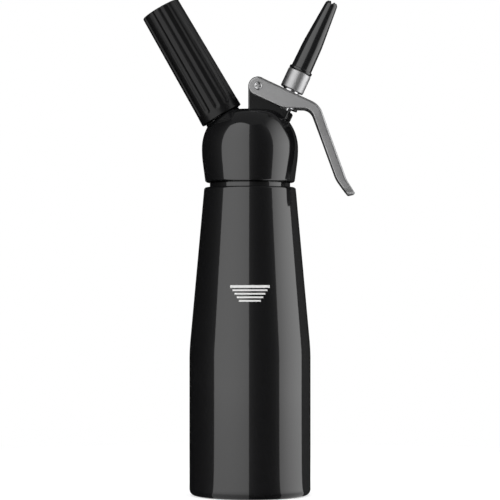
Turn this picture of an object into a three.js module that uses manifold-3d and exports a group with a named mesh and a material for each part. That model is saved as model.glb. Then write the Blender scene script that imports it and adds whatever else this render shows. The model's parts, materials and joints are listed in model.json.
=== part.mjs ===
// A half-litre whipped cream dispenser: a lacquered bottle with a screwed head, a fluted
// charger holder that leans to the left, and a lever valve whose nozzle leans to the right.
// Millimetres, +Z up, origin on the bottle's axis in the plane of its foot. The front is
// at -Y, the charger holder at -X and the lever's handle at +X.
import * as THREE from 'three';
import { mergeVertices } from 'three/addons/utils/BufferGeometryUtils.js';
import Module from 'manifold-3d';

const wasm = await Module();
wasm.setup();

// Clearances and cutting
const seatGap = 0.3; // between pieces that seat on each other
const runningGap = 0.4; // between pieces that slide or turn in each other
const overrun = 2; // how far a cutter runs past the face that it opens
const mergeTolerance = 0.0005; // points closer than this are one point

// Bottle: drawn aluminium with a rolled foot, a long cone and a plain collar under its neck
const bottleRadius = 38;
const bottleWall = 1.8;
const footRound = 4;
const footRingWidth = 7;
const footRise = 2.5;
const footWall = 2.2;
const innerFootRound = 5;
const taperStart = 91.1; // height where the cone's line meets the cylinder
const taperBlend = 130; // radius of the soft bend between the two
const shoulderHeight = 193.2;
const shoulderLedge = 3.5; // from the collar out to the shoulder's corner
const shoulderRound = 1.6;
const shoulderWall = 3;
const innerShoulderRound = 2.5;
const collarLedge = 1.6; // from the neck out to the collar
const grooveWidth = 3; // open groove between the shoulder and the head
const neckBore = 20.6;
const neckWall = 3;
const neckHeight = 20.8;
const mouthRound = 0.8;

// Head: one casting with a skirt, a dome, a pivot tower and two bosses
const skirtWall = 2.5;
const skirtRound = 1;
const skirtFlareShare = 0.776; // of the way up to the dome's centre, where the flare ends
const skirtBlendShare = 0.82; // of the straight part above the flare, taken by its soft bend
const domeOverhang = 2.2; // how much wider the dome is than the skirt's edge
const domeCentreHeight = 21.4; // above the lower edge of the skirt
const domeCentreOffset = 2.2; // from the head's axis out to the centre of the dome's arc
const domeRise = 24.2; // from the arc's centre up to the flat top
const domeEdgeRise = 3.4; // height of the rounded edge between the arc and the top
const domeEdgeShare = 0.98; // of the slope between the arc and the top, taken by the round
const cavityRise = 15.5;
const gasketThickness = 2;

// Charger side: a frame that leans to the left, with its origin in the holder's rim
const chargerLean = THREE.MathUtils.degToRad(-30);
const chargerAxisDrop = 9.96; // below the dome's centre, where this axis meets the head's
const chargerStandOff = 5.2; // how much further out the rim is than the dome
const chargerBossRadius = 11.6;
const chargerBossDepth = 26;
const chargerBossChamfer = 0.5;
const spotFaceMargin = 0.6; // round the holder's rim
const spigotRadius = 9.5;
const spigotTop = 11.6;
const spigotChamfer = 0.8;
const spigotBoreGap = 0.7; // round the charger's neck
const inletFloor = 5; // ledge inside the spigot that the piercing valve sits on
const inletBore = 3.5;
const inletBossRadius = 6.2;
const inletBossDepth = 13;

// Charger holder: moulded with draft and twelve round-ended flutes
const holderLength = 77.2;
const holderFootRadius = 13.8;
const holderTopRadius = 12.75;
const holderEdgeRound = 0.9;
const holderThreadGap = 0.7; // between the spigot and the bore of the holder's thread
const holderThreadRelief = 1; // past the end of the spigot
const holderEndRound = 6;
const fluteCount = 12;
const fluteCutterRadius = 2.4;
const fluteDepth = 0.7;
const fluteStart = 10.6; // centre of a flute's rounded lower end, above the rim

// Gas charger, and the pieces that pierce it and seal it
const chargerRadius = 8.9;
const chargerLength = 65.4;
const chargerWall = 1.4;
const chargerNeckRadius = 4.3;
const chargerNeckLength = 7;
const chargerShoulderLength = 9;
const chargerShoulderRound = 6;
const chargerNeckBore = 2.6;
const capThickness = 0.5;
const valveFlangeThickness = 0.9;
const chargerSealThickness = 1.3;
const needleRadius = 1;
const needleBore = 0.45;
const needleReach = 1.9; // past the inner face of the charger's cap
const needleSink = 9; // below the valve body's flange
const sleeveWall = 1;
const sleeveLength = 4.2;

// Valve side: a frame that leans to the right, with its origin in the adapter's lower face
const valveLean = THREE.MathUtils.degToRad(25);
const valveAxisRise = 2.13; // above the skirt's edge, where this axis meets the head's
const valveStandOff = 31.56; // how much further out the adapter is than the dome
const valveBossWall = 1.9;
const valveBossChamfer = 0.8;
const valveRootWall = 2; // of the thicker boss inside the head
const valveTravel = 2; // from the stem's flange down to the boss
const stemGuideLength = 8.6; // from the top of the boss to the ledge that the valve seal closes on
const valveChamberGap = 1.2; // round the stem's piston

// Stem: hollow, with a flange under the lever and a piston below the valve's ledge
const stemRadius = 5.2;
const stemBore = 2.6;
const stemTop = 5.5;
const stemChamfer = 0.5;
const flangeRadius = 8.8;
const flangeTop = -10.3;
const flangeThickness = 1.1;
const ringPlaceShares = [0.38, 0.79]; // of the guided length above the stem's ports
const ringSection = 0.6; // radius of a ring's section
const ringFit = 0.45; // clearance across a ring's section
const ringGrooveGap = 0.35; // at each side of a ring
const portNeckRadius = 4.2;
const portNeckLength = 1.8;
const portRadius = 0.6;
const sealNeckRadius = 3.6;
const valveSealInset = 0.3; // from the piston's edge
const valveSealThickness = 1.3;
const pistonRadius = 6.8;
const pistonThickness = 1;
const springRodRadius = 3;
const springRodReach = 0.7; // past the retainer
const springRoom = 8.7; // from the piston to the retainer
const retainerThickness = 2.6;
const retainerInset = 0.4; // from the end of the chamber
const flowHoleCount = 6;
const flowHoleRadius = 1.1;
const springWire = 0.45; // radius of the wire
const springTurns = 4.5;

// Adapter and nozzle
const adapterWall = 2;
const adapterLength = 12.4;
const adapterChamfer = 0.4;
const sealRingBore = 3;
const sealRingThickness = 1.2;
const nozzleRimInset = 0.1; // from the adapter's outside
const nozzleRimThickness = 1.8;
const nozzleRimRound = 0.5;
const nozzleTip = 61.5; // height above the adapter's lower face
const nozzleRootRadius = 6.65;
const nozzleWaistRadius = 6.31;
const nozzleWaistHeight = 31.5;
const nozzleWaistBlend = 100;
const nozzleTipRadius = 3.77;
const nozzleTipRound = 3.2;
const nozzleBore = 3.2;
const nozzleTipBore = 1.8;
const notchPairs = 3;
const notchDepth = 2.1;
const notchHalfWidth = 1.3;

// Lever: a bar across the pivot, a fork round the stem and a handle down the side
const pivotArm = 19.97; // from the stem's axis
const pivotDrop = 7.33; // below the adapter's lower face
const barHalf = 5.75; // half the bar's depth, above and below the pivot
const cheekWall = 2.6;
const leverChamfer = 0.7;
const heelCorner = 2.6; // along the bar, left of the pivot
const barOverhang = 19.78; // from the stem's axis to the corner of the outer bend
const bendRound = 12.5;
const innerBendRound = 7;
const throatRound = 14;
const throatDrop = 13.9; // below the pivot
const handleLean = THREE.MathUtils.degToRad(20);
const handleThickness = 5.8;
const handleLength = 50.3; // from the bend's corner to the flare
const flareLead = 3; // how much higher the flare starts on the inner side
const flareLean = THREE.MathUtils.degToRad(33);
const flareLength = 10.2;
const flareRound = 18;
const tipThickness = 4.3;
const tipBevel = 1.5;
const tipRound = 0.8;
const handleHalfWidth = 9;
const handleTipHalfWidth = 9.8;
const handleTipRound = 5;
const cheekTaperStart = 13.1; // below the pivot
const cheekTaperEnd = 30.1; // below the pivot
const cheekTaperRound = 24;
const forkEndGap = 0.9; // between the stem or its flange and the closed end of the fork
const pocketRise = 1.1; // from the flange up to the ceiling of its pocket
const padRadius = 4; // rounded pads that press on the flange
const padRoot = 0.5; // how deep the pads are rooted in the cheeks
const prongGap = 1.4; // between the tower and the ends of the fork's prongs

// Pivot tower, sleeve nut and screw
const towerReach = 6; // from the pivot to the tower's left and right walls
const towerCornerRound = 2;
const towerRootDepth = 9.8; // below the top of the dome
const towerNarrowing = 9.1; // from the pivot to where the tower narrows towards the valve boss
const barrelRadius = 2;
const barrelEndWall = 1.5;
const barrelInset = 0.4; // how far the sleeve nut ends inside the front cheek
const barrelHeadRadius = 3.4;
const screwRadius = 1.2;
const screwLength = 12;
const screwHeadRadius = 2.8;
const fastenerHeadHeight = 1.5;
const fastenerHeadRim = 0.4;

// Facets
const bigSteps = 36;
const midSteps = 20;
const smallSteps = 16;
const wireSteps = 5;
const stepsPerTurn = 10;
const arcSteps = 4;
const cornerSteps = 2;

// Places and fits that follow from the sizes above
const footRingInner = bottleRadius - footRound - footRingWidth;
const collarRadius = neckBore + neckWall + collarLedge;
const shoulderRadius = collarRadius + shoulderLedge;
const skirtEdge = shoulderHeight + grooveWidth;
const skirtBore = collarRadius + seatGap;
const skirtRadius = skirtBore + skirtWall;
const mouthHeight = shoulderHeight + neckHeight;
const gasketLow = mouthHeight + seatGap;
const gasketSeat = gasketLow + gasketThickness + seatGap;
const domeWidest = skirtRadius + domeOverhang;
const domeCentre = skirtEdge + domeCentreHeight;
const domeTop = domeCentre + domeRise;

const chargerBossTop = -seatGap;
const spigotBore = chargerNeckRadius + spigotBoreGap;
const valveFlangeRadius = spigotBore - runningGap;
const valveFlangeLow = inletFloor + seatGap;
const chargerSealLow = valveFlangeLow + valveFlangeThickness + seatGap;
const chargerTip = chargerSealLow + chargerSealThickness + seatGap;
const chargerEnd = chargerTip + chargerLength;
const holderThreadBore = spigotRadius + holderThreadGap;
const holderThreadDepth = spigotTop + holderThreadRelief;
const holderBore = chargerRadius + runningGap;
const holderInnerEnd = chargerEnd + seatGap;
const valveShankRadius = inletBore - seatGap;
const valveBodyBore = needleRadius + seatGap;
const sleeveBore = valveShankRadius + seatGap;
const sleeveRadius = sleeveBore + sleeveWall;
const valveBodyEnd = -inletBossDepth - seatGap - sleeveLength - seatGap;

const stemGuideBore = stemRadius + runningGap;
const valveBossRadius = stemGuideBore + valveBossWall;
const valveBossTop = flangeTop - flangeThickness - valveTravel;
const valveLedge = valveBossTop - stemGuideLength;
const valveChamberRadius = pistonRadius + valveChamberGap;
const valveRootRadius = valveChamberRadius + valveRootWall;
const valveSealRadius = pistonRadius - valveSealInset;
const valveSealTop = valveLedge - seatGap;
const pistonTop = valveSealTop - valveSealThickness - seatGap;
const pistonLow = pistonTop - pistonThickness;
const portNeckTop = valveLedge + portNeckLength;
const ringGrooveFloor = stemGuideBore - 2 * ringSection - ringFit;
const ringGrooveHalf = ringSection + ringGrooveGap;
const ringCentres = ringPlaceShares.map((share) => valveBossTop + (portNeckTop - valveBossTop) * share);
const retainerTop = pistonLow - springRoom;
const retainerLow = retainerTop - retainerThickness;
const valveRootEnd = retainerLow - retainerInset;
const springRodEnd = retainerLow - springRodReach;
const sealRingLow = stemTop + seatGap;
const adapterBore = stemRadius + runningGap;
const adapterRadius = adapterBore + adapterWall;
const nozzleSpigotLow = sealRingLow + sealRingThickness + seatGap;
const nozzleSpigotRadius = stemRadius;
const nozzleRimRadius = adapterRadius - nozzleRimInset;
const nozzleRimLow = adapterLength + seatGap;

const forkHalfWidth = flangeRadius + runningGap;
const leverHalfWidth = forkHalfWidth + cheekWall;
const towerHalfWidth = forkHalfWidth - runningGap;
const barEnd = pivotArm + barOverhang;
const pivotHole = barrelRadius + seatGap;

// Frames of the two leaning sides and of the lever's bar
const chargerFrame = leaningFrame(chargerLean, domeCentre - chargerAxisDrop, domeWidest + chargerStandOff);
const valveFrame = leaningFrame(valveLean, skirtEdge + valveAxisRise, domeWidest + valveStandOff);
const barFrame = valveFrame.clone().multiply(new THREE.Matrix4().makeTranslation(-pivotArm, 0, -pivotDrop));
const [pivotX, pivotHeight] = placed(barFrame, 0, 0);
const towerRootHeight = domeTop - towerRootDepth;
const throatHeight = pivotHeight - throatDrop;

// A frame whose axis leaves the head's own axis at a height and leans off it, with its
// origin some way along.
function leaningFrame(lean, axisHeight, reach) {
  const frame = new THREE.Matrix4().makeRotationY(lean);
  return frame.setPosition(reach * Math.sin(lean), 0, axisHeight + reach * Math.cos(lean));
}

// The [x, z] place of a point that lies `across` and `up` in a leaning frame.
function placed(frame, across, up) {
  const point = new THREE.Vector3(across, 0, up).applyMatrix4(frame);
  return [point.x, point.z];
}

// Outlines and profiles: lists of [x, y] or [radius, height]

function range(count) {
  return Array.from({ length: count }, (_, i) => i);
}

// Replaces each corner [x, y, radius] by an arc that is tangent to both of its sides.
// The first and last points of an open outline stay as they are.
function roundCorners(corners, closed = false) {
  return corners.flatMap((corner, i) => {
    const isEnd = !closed && (i === 0 || i === corners.length - 1);
    if (isEnd || !corner[2]) return [[corner[0], corner[1]]];
    return cornerArc(corners.at(i - 1), corner, corners[(i + 1) % corners.length]);
  });
}

function cornerArc(before, [x, y, radius, steps = cornerSteps], after) {
  const corner = new THREE.Vector2(x, y);
  const back = new THREE.Vector2(before[0], before[1]).sub(corner).normalize();
  const ahead = new THREE.Vector2(after[0], after[1]).sub(corner).normalize();
  const half = Math.acos(THREE.MathUtils.clamp(back.dot(ahead), -1, 1)) / 2;
  const middle = back.clone().add(ahead).normalize();
  const centre = corner.clone().addScaledVector(middle, radius / Math.sin(half));
  const start = corner.clone().addScaledVector(back, radius / Math.tan(half));
  const turn = -Math.sign(back.cross(ahead)) * (Math.PI - 2 * half);
  return range(steps + 1).map((i) =>
    start.clone().rotateAround(centre, (turn * i) / steps).toArray(),
  );
}

// Points of an arc about [x, y], its angles in degrees.
function arc(x, y, radius, from, to, steps = arcSteps) {
  return range(steps + 1).map((i) => {
    const angle = THREE.MathUtils.degToRad(from + ((to - from) * i) / steps);
    return [x + radius * Math.cos(angle), y + radius * Math.sin(angle)];
  });
}

// Geometry: closed, with its faces looking outwards

// A body turned round +Z from a profile that starts and ends on the axis, or on itself.
function turned(profile, steps = midSteps) {
  const points = profile.map(([radius, height]) => new THREE.Vector2(radius, height));
  return facingOut(new THREE.LatheGeometry(points, steps).rotateX(Math.PI / 2));
}

function rod(radius, low, high, steps = midSteps) {
  return turned([[0, low], [radius, low], [radius, high], [0, high]], steps);
}

function ring(bore, radius, low, high, steps = midSteps) {
  return turned([[bore, low], [radius, low], [radius, high], [bore, high], [bore, low]], steps);
}

function facingOut(geometry) {
  if (enclosedVolume(geometry) > 0) return geometry;
  const order = geometry.index;
  for (let i = 0; i < order.count; i += 3) {
    const first = order.getX(i);
    order.setX(i, order.getX(i + 1));
    order.setX(i + 1, first);
  }
  return geometry;
}

function enclosedVolume(geometry) {
  const [a, b, c] = [new THREE.Vector3(), new THREE.Vector3(), new THREE.Vector3()];
  let volume = 0;
  for (let i = 0; i < geometry.index.count; i += 3) {
    a.fromBufferAttribute(geometry.attributes.position, geometry.index.getX(i));
    b.fromBufferAttribute(geometry.attributes.position, geometry.index.getX(i + 1));
    c.fromBufferAttribute(geometry.attributes.position, geometry.index.getX(i + 2));
    volume += a.dot(b.cross(c)) / 6;
  }
  return volume;
}

function outlineShape(outline) {
  return new THREE.Shape(outline.map(([x, y]) => new THREE.Vector2(x, y)));
}

// A plate with an outline in X and Z, centred on the plane Y = 0.
function plateXZ(outline, width, chamfer = 0) {
  const plate = new THREE.ExtrudeGeometry(outlineShape(outline), {
    depth: width - 2 * chamfer,
    bevelEnabled: chamfer > 0,
    bevelThickness: chamfer,
    bevelSize: chamfer,
    bevelOffset: -chamfer,
    bevelSegments: 1,
  });
  return plate.translate(0, 0, chamfer - width / 2).rotateX(Math.PI / 2);
}

// A post with an outline in X and Y, and one with an outline in Y and Z along X.
function postXY(outline, low, high) {
  const settings = { depth: high - low, bevelEnabled: false };
  return new THREE.ExtrudeGeometry(outlineShape(outline), settings).translate(0, 0, low);
}

function postYZ(outline, low, high) {
  return postXY(outline, low, high).rotateX(Math.PI / 2).rotateZ(Math.PI / 2);
}

function block(lowX, highX, halfWidth, lowZ, highZ) {
  const box = new THREE.BoxGeometry(highX - lowX, 2 * halfWidth, highZ - lowZ);
  return box.translate((lowX + highX) / 2, 0, (lowZ + highZ) / 2);
}

// Lays a body made round +Z along Y instead, through the pivot of the lever.
function throughPivot(geometry) {
  return geometry.rotateX(-Math.PI / 2).translate(pivotX, 0, pivotHeight);
}

// Solids for joining and cutting

function solid(geometry) {
  const bare = geometry.clone();
  bare.deleteAttribute('normal');
  bare.deleteAttribute('uv');
  const merged = mergeVertices(bare, mergeTolerance);
  const corners = merged.index.array;
  const faces = [];
  for (let i = 0; i < corners.length; i += 3) {
    const [a, b, c] = corners.slice(i, i + 3);
    if (a !== b && b !== c && c !== a) faces.push(a, b, c);
  }
  const vertProperties = new Float32Array(merged.attributes.position.array);
  const triVerts = new Uint32Array(faces);
  return new wasm.Manifold(new wasm.Mesh({ numProp: 3, vertProperties, triVerts }));
}

function leaned(geometry, frame) {
  return solid(geometry.applyMatrix4(frame));
}

function join(...parts) {
  return parts.reduce((whole, part) => whole.add(part));
}

function cut(body, ...cutters) {
  return cutters.reduce((rest, cutter) => rest.subtract(cutter), body);
}

function geometryOf(body) {
  const { vertProperties, triVerts } = body.getMesh();
  const geometry = new THREE.BufferGeometry();
  geometry.setAttribute('position', new THREE.BufferAttribute(new Float32Array(vertProperties), 3));
  geometry.setIndex(new THREE.BufferAttribute(new Uint32Array(triVerts), 1));
  geometry.computeVertexNormals();
  return geometry;
}

// Bottle

function bottle() {
  const innerShoulder = shoulderHeight - shoulderWall;
  const wallAndNeck = roundCorners([
    [footRingInner, 0],
    [bottleRadius, 0, footRound, arcSteps],
    [bottleRadius, taperStart, taperBlend, arcSteps],
    [shoulderRadius, shoulderHeight, shoulderRound],
    [collarRadius, shoulderHeight],
    [collarRadius, skirtEdge - seatGap],
    [neckBore + neckWall, skirtEdge - seatGap],
    [neckBore + neckWall, mouthHeight, mouthRound, 1],
    [neckBore, mouthHeight, mouthRound, 1],
    [neckBore, innerShoulder, innerShoulderRound],
    [shoulderRadius - bottleWall, innerShoulder, innerShoulderRound],
    [bottleRadius - bottleWall, taperStart, taperBlend],
    [bottleRadius - bottleWall, footWall, innerFootRound],
    [footRingInner, footWall],
  ]);
  return turned([...dish(0), ...wallAndNeck, ...dish(footWall).reverse()], bigSteps);
}

// The hollow base, from the axis out towards the foot ring.
function dish(low) {
  return range(arcSteps).map((i) => {
    const share = i / arcSteps;
    return [footRingInner * share, low + footRise * (1 - share * share)];
  });
}

// Head casting

function head() {
  const dome = cut(solid(turned(domeProfile(), bigSteps)), holderSpotFace(), leverSpotFace());
  const outside = join(
    dome,
    tower(),
    leaned(chargerBoss(), chargerFrame),
    leaned(spigot(), chargerFrame),
    leaned(valveBoss(), valveFrame),
  );
  return geometryOf(cut(outside, headCavity(), ...inletBores(), ...valveBores(), pivotBore()));
}

function domeProfile() {
  const domeArc = domeWidest - domeCentreOffset;
  const angle = Math.asin((domeRise - domeEdgeRise) / domeArc);
  const side = arc(domeCentreOffset, domeCentre, domeArc, 0, THREE.MathUtils.radToDeg(angle), 2 * arcSteps);
  const [endRadius, endHeight] = side.at(-1);
  const slope = (domeTop - endHeight) / Math.cos(angle);
  const topCorner = endRadius - slope * Math.sin(angle);
  const topRound = (domeEdgeShare * slope) / Math.tan((Math.PI / 2 - angle) / 2);
  const flareHeight = domeCentreHeight * skirtFlareShare;
  const flareAngle = Math.atan(domeOverhang / flareHeight);
  const flareRound = (skirtBlendShare * (domeCentreHeight - flareHeight)) / Math.tan(flareAngle / 2);
  return roundCorners([
    [0, skirtEdge],
    [skirtRadius, skirtEdge, skirtRound],
    [domeWidest, skirtEdge + flareHeight, flareRound],
    ...side,
    [topCorner, domeTop, topRound, arcSteps],
    [0, domeTop],
  ]);
}

// The dome is faced off where the holder's rim comes down on it.
function holderSpotFace() {
  const radius = holderFootRadius + spotFaceMargin;
  return leaned(rod(radius, chargerBossTop, holderThreadDepth), chargerFrame);
}

// It keeps below the plane that the lever's bar and the stem's flange come down to.
function leverSpotFace() {
  const half = leverHalfWidth + runningGap;
  return leaned(block(-pivotArm, barOverhang, half, valveBossTop, valveBossTop + pivotArm), valveFrame);
}

// The tower carries the pivot between the lever's cheeks. To the right its top follows
// the valve boss, and in plan its corners are round and it narrows towards that boss.
function tower() {
  const left = pivotX - towerReach;
  const right = pivotX + towerReach;
  const narrow = pivotX + towerNarrowing;
  const [bossX, bossHeight] = placed(valveFrame, 0, valveBossTop);
  const slope = Math.tan(valveLean);
  const side = [
    [left, towerRootHeight],
    [bossX - (bossHeight - towerRootHeight) * slope, towerRootHeight],
    [bossX, bossHeight],
    [right, bossHeight + (bossX - right) * slope],
    ...arc(pivotX, pivotHeight, towerReach, 0, 180, 2 * arcSteps),
  ];
  const bossHalf = valveBossRadius - valveBossChamfer;
  const plan = roundCorners(
    [
      [left, -towerHalfWidth, towerCornerRound],
      [narrow, -towerHalfWidth, towerCornerRound],
      [bossX, -bossHalf],
      [bossX, bossHalf],
      [narrow, towerHalfWidth, towerCornerRound],
      [left, towerHalfWidth, towerCornerRound],
    ],
    true,
  );
  const post = postXY(plan, towerRootHeight - overrun, pivotHeight + towerReach + overrun);
  const whole = solid(plateXZ(side, 2 * towerHalfWidth + overrun)).intersect(solid(post));
  return cut(whole, leaned(rod(flangeRadius + runningGap, valveBossTop, stemTop), valveFrame));
}

function chargerBoss() {
  return turned(roundedRod(chargerBossRadius, -chargerBossDepth, chargerBossTop, chargerBossChamfer));
}

function spigot() {
  return turned(roundedRod(spigotRadius, chargerBossTop - overrun, spigotTop, spigotChamfer));
}

function valveBoss() {
  return turned(roundedRod(valveBossRadius, valveRootEnd, valveBossTop, valveBossChamfer));
}

// A rod whose upper edge has a chamfer.
function roundedRod(radius, low, high, chamfer) {
  return [[0, low], [radius, low], [radius, high - chamfer], [radius - chamfer, high], [0, high]];
}

// The threaded skirt and the vaulted room above the gasket, less the two inner bosses.
function headCavity() {
  const vault = arc(0, 0, 1, 0, 90, 2 * arcSteps).map(([across, up]) => [
    neckBore * across,
    gasketSeat + cavityRise * up,
  ]);
  vault[vault.length - 1][0] = 0;
  const room = turned([[0, gasketSeat - overrun], [neckBore, gasketSeat - overrun], ...vault], bigSteps);
  const inletBoss = leaned(rod(inletBossRadius, -inletBossDepth, 0), chargerFrame);
  const valveRoot = leaned(rod(valveRootRadius, valveRootEnd, valveBossTop), valveFrame);
  const skirt = solid(rod(skirtBore, skirtEdge - overrun, gasketSeat, bigSteps));
  return join(cut(solid(room), inletBoss, valveRoot), skirt);
}

// The spigot's bore, the valve body's bore and the room below it, where the sleeve opens.
function inletBores() {
  return [
    leaned(rod(spigotBore, inletFloor, spigotTop + overrun, smallSteps), chargerFrame),
    leaned(rod(inletBore, -inletBossDepth - overrun, inletFloor + overrun, smallSteps), chargerFrame),
    leaned(rod(sleeveRadius + seatGap, -domeWidest, -inletBossDepth, smallSteps), chargerFrame),
  ];
}

function valveBores() {
  return [
    leaned(rod(stemGuideBore, valveLedge - overrun, valveBossTop + overrun), valveFrame),
    leaned(rod(valveChamberRadius, valveRootEnd - overrun, valveLedge), valveFrame),
  ];
}

function pivotBore() {
  const reach = towerHalfWidth + overrun;
  return solid(throughPivot(rod(pivotHole, -reach, reach, smallSteps)));
}

function headGasket() {
  return ring(neckBore + seatGap, skirtBore - seatGap, gasketLow, gasketSeat - seatGap, bigSteps);
}

// Charger side, each piece round +Z in the charger's frame

function chargerHolder() {
  const outside = roundCorners([
    [0, 0],
    [holderFootRadius, 0, holderEdgeRound],
    [holderTopRadius, holderLength, holderEdgeRound],
    [0, holderLength],
  ]);
  const bore = roundCorners([
    [0, -overrun],
    [holderThreadBore, -overrun],
    [holderThreadBore, holderThreadDepth],
    [holderBore, holderThreadDepth],
    [holderBore, holderInnerEnd, holderEndRound, arcSteps],
    [0, holderInnerEnd],
  ]);
  const flutes = range(fluteCount).map((i) => fluteCutter((i * 2 * Math.PI) / fluteCount));
  return geometryOf(cut(solid(turned(outside, 4 * fluteCount)), solid(turned(bore)), ...flutes));
}

// A flute is cut by a round-ended rod that runs along the drafted side, out past the end.
function fluteCutter(angle) {
  const draft = Math.atan((holderFootRadius - holderTopRadius) / holderLength);
  const sideAtStart = holderFootRadius - fluteStart * Math.tan(draft);
  const profile = [
    ...arc(0, 0, fluteCutterRadius, -90, 0).map(([r, z], i) => [i === 0 ? 0 : r, z]),
    [fluteCutterRadius, holderLength],
    [0, holderLength],
  ];
  const cutter = turned(profile, smallSteps).rotateY(-draft);
  cutter.translate(sideAtStart + fluteCutterRadius - fluteDepth, 0, fluteStart);
  return solid(cutter.rotateZ(angle));
}

function gasCharger() {
  const shoulder = chargerTip + chargerNeckLength;
  const body = shoulder + chargerShoulderLength;
  const inner = chargerRadius - chargerWall;
  return turned(
    roundCorners([
      [chargerNeckBore, chargerTip],
      [chargerNeckRadius, chargerTip],
      [chargerNeckRadius, shoulder],
      [chargerRadius, body, chargerShoulderRound],
      [chargerRadius, chargerEnd - chargerRadius],
      ...arc(0, chargerEnd - chargerRadius, chargerRadius, 0, 90).slice(1, -1),
      [0, chargerEnd],
      [0, chargerEnd - chargerWall],
      ...arc(0, chargerEnd - chargerRadius, inner, 90, 0).slice(1, -1),
      [inner, chargerEnd - chargerRadius],
      [inner, body + chargerWall],
      [chargerNeckBore, shoulder + chargerWall],
      [chargerNeckBore, chargerTip],
    ]),
  );
}

function chargerCap() {
  return ring(valveBodyBore, chargerNeckBore - seatGap, chargerTip, chargerTip + capThickness, smallSteps);
}

function chargerSeal() {
  const high = chargerSealLow + chargerSealThickness;
  return ring(valveBodyBore, valveFlangeRadius, chargerSealLow, high, smallSteps);
}

function piercingValveBody() {
  const flangeHigh = valveFlangeLow + valveFlangeThickness;
  return turned(
    [
      [valveBodyBore, valveBodyEnd],
      [valveShankRadius, valveBodyEnd],
      [valveShankRadius, valveFlangeLow],
      [valveFlangeRadius, valveFlangeLow],
      [valveFlangeRadius, flangeHigh],
      [valveBodyBore, flangeHigh],
      [valveBodyBore, valveBodyEnd],
    ],
    smallSteps,
  );
}

// The needle's tip is cut at a slant.
function piercingNeedle() {
  const tip = chargerTip + capThickness + needleReach;
  const tube = solid(ring(needleBore, needleRadius, valveFlangeLow - needleSink, tip, smallSteps));
  const slant = block(-overrun, overrun, overrun, 0, overrun);
  return geometryOf(cut(tube, solid(slant.rotateY(Math.PI / 4).translate(0, 0, tip - needleRadius))));
}

function checkValveSleeve() {
  const high = -inletBossDepth - seatGap;
  return ring(sleeveBore, sleeveRadius, high - sleeveLength, high, smallSteps);
}

// Valve side, each piece round +Z in the valve's frame

function valveStem() {
  const grooves = ringCentres.flatMap((centre) => [
    [stemRadius, centre + ringGrooveHalf],
    [ringGrooveFloor, centre + ringGrooveHalf],
    [ringGrooveFloor, centre - ringGrooveHalf],
    [stemRadius, centre - ringGrooveHalf],
  ]);
  const profile = [
    [stemBore, stemTop],
    [stemRadius - stemChamfer, stemTop],
    [stemRadius, stemTop - stemChamfer],
    [stemRadius, flangeTop],
    [flangeRadius, flangeTop],
    [flangeRadius, flangeTop - flangeThickness],
    [stemRadius, flangeTop - flangeThickness],
    ...grooves,
    [stemRadius, portNeckTop],
    [portNeckRadius, portNeckTop],
    [portNeckRadius, valveLedge],
    [sealNeckRadius, valveLedge],
    [sealNeckRadius, pistonTop],
    [pistonRadius, pistonTop],
    [pistonRadius, pistonLow],
    [springRodRadius, pistonLow],
    [springRodRadius, springRodEnd],
    [0, springRodEnd],
    [0, valveLedge - portRadius],
    [stemBore, valveLedge - portRadius],
    [stemBore, stemTop],
  ];
  return geometryOf(cut(solid(turned(profile)), ...stemPorts()));
}

// Two cross-drilled holes let the cream into the hollow stem.
function stemPorts() {
  const height = (portNeckTop + valveLedge) / 2;
  const reach = portNeckRadius + overrun;
  return range(2).map((i) => {
    const drill = rod(portRadius, -reach, reach, smallSteps).rotateX(Math.PI / 2);
    return solid(drill.rotateZ((i * Math.PI) / 2).translate(0, 0, height));
  });
}

function stemRing(centre) {
  const middle = ringGrooveFloor + seatGap + ringSection;
  const section = arc(middle, centre, ringSection, 0, 360, 3 * cornerSteps);
  section[section.length - 1] = section[0];
  return turned(section, smallSteps);
}

function valveSeal() {
  const bore = sealNeckRadius + seatGap;
  return ring(bore, valveSealRadius, valveSealTop - valveSealThickness, valveSealTop);
}

class Coil extends THREE.Curve {
  getPoint(share) {
    const angle = share * springTurns * 2 * Math.PI;
    const radius = springRodRadius + runningGap + 2 * springWire;
    const low = retainerTop + seatGap + springWire;
    const high = pistonLow - seatGap - springWire;
    return new THREE.Vector3(
      radius * Math.cos(angle),
      radius * Math.sin(angle),
      low + (high - low) * share,
    );
  }
}

function valveSpring() {
  const section = range(wireSteps).map((i) => {
    const angle = (i * 2 * Math.PI) / wireSteps;
    return [springWire * Math.cos(angle), springWire * Math.sin(angle)];
  });
  const steps = Math.round(springTurns * stepsPerTurn);
  return new THREE.ExtrudeGeometry(outlineShape(section), { steps, extrudePath: new Coil() });
}

function valveRetainer() {
  const bore = springRodRadius + runningGap;
  const radius = valveChamberRadius - seatGap;
  const disc = solid(ring(bore, radius, retainerLow, retainerTop));
  const holes = range(flowHoleCount).map((i) => {
    const hole = rod(flowHoleRadius, retainerLow - overrun, retainerTop + overrun, smallSteps / 2);
    hole.translate((bore + radius) / 2, 0, 0);
    return solid(hole.rotateZ((i * 2 * Math.PI) / flowHoleCount));
  });
  return geometryOf(cut(disc, ...holes));
}

function nozzleAdapter() {
  const edge = adapterRadius - adapterChamfer;
  return turned([
    [adapterBore, 0],
    [edge, 0],
    [adapterRadius, adapterChamfer],
    [adapterRadius, adapterLength - adapterChamfer],
    [edge, adapterLength],
    [adapterBore, adapterLength],
    [adapterBore, 0],
  ]);
}

function nozzleSealRing() {
  return ring(sealRingBore, stemRadius, sealRingLow, sealRingLow + sealRingThickness);
}

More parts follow.
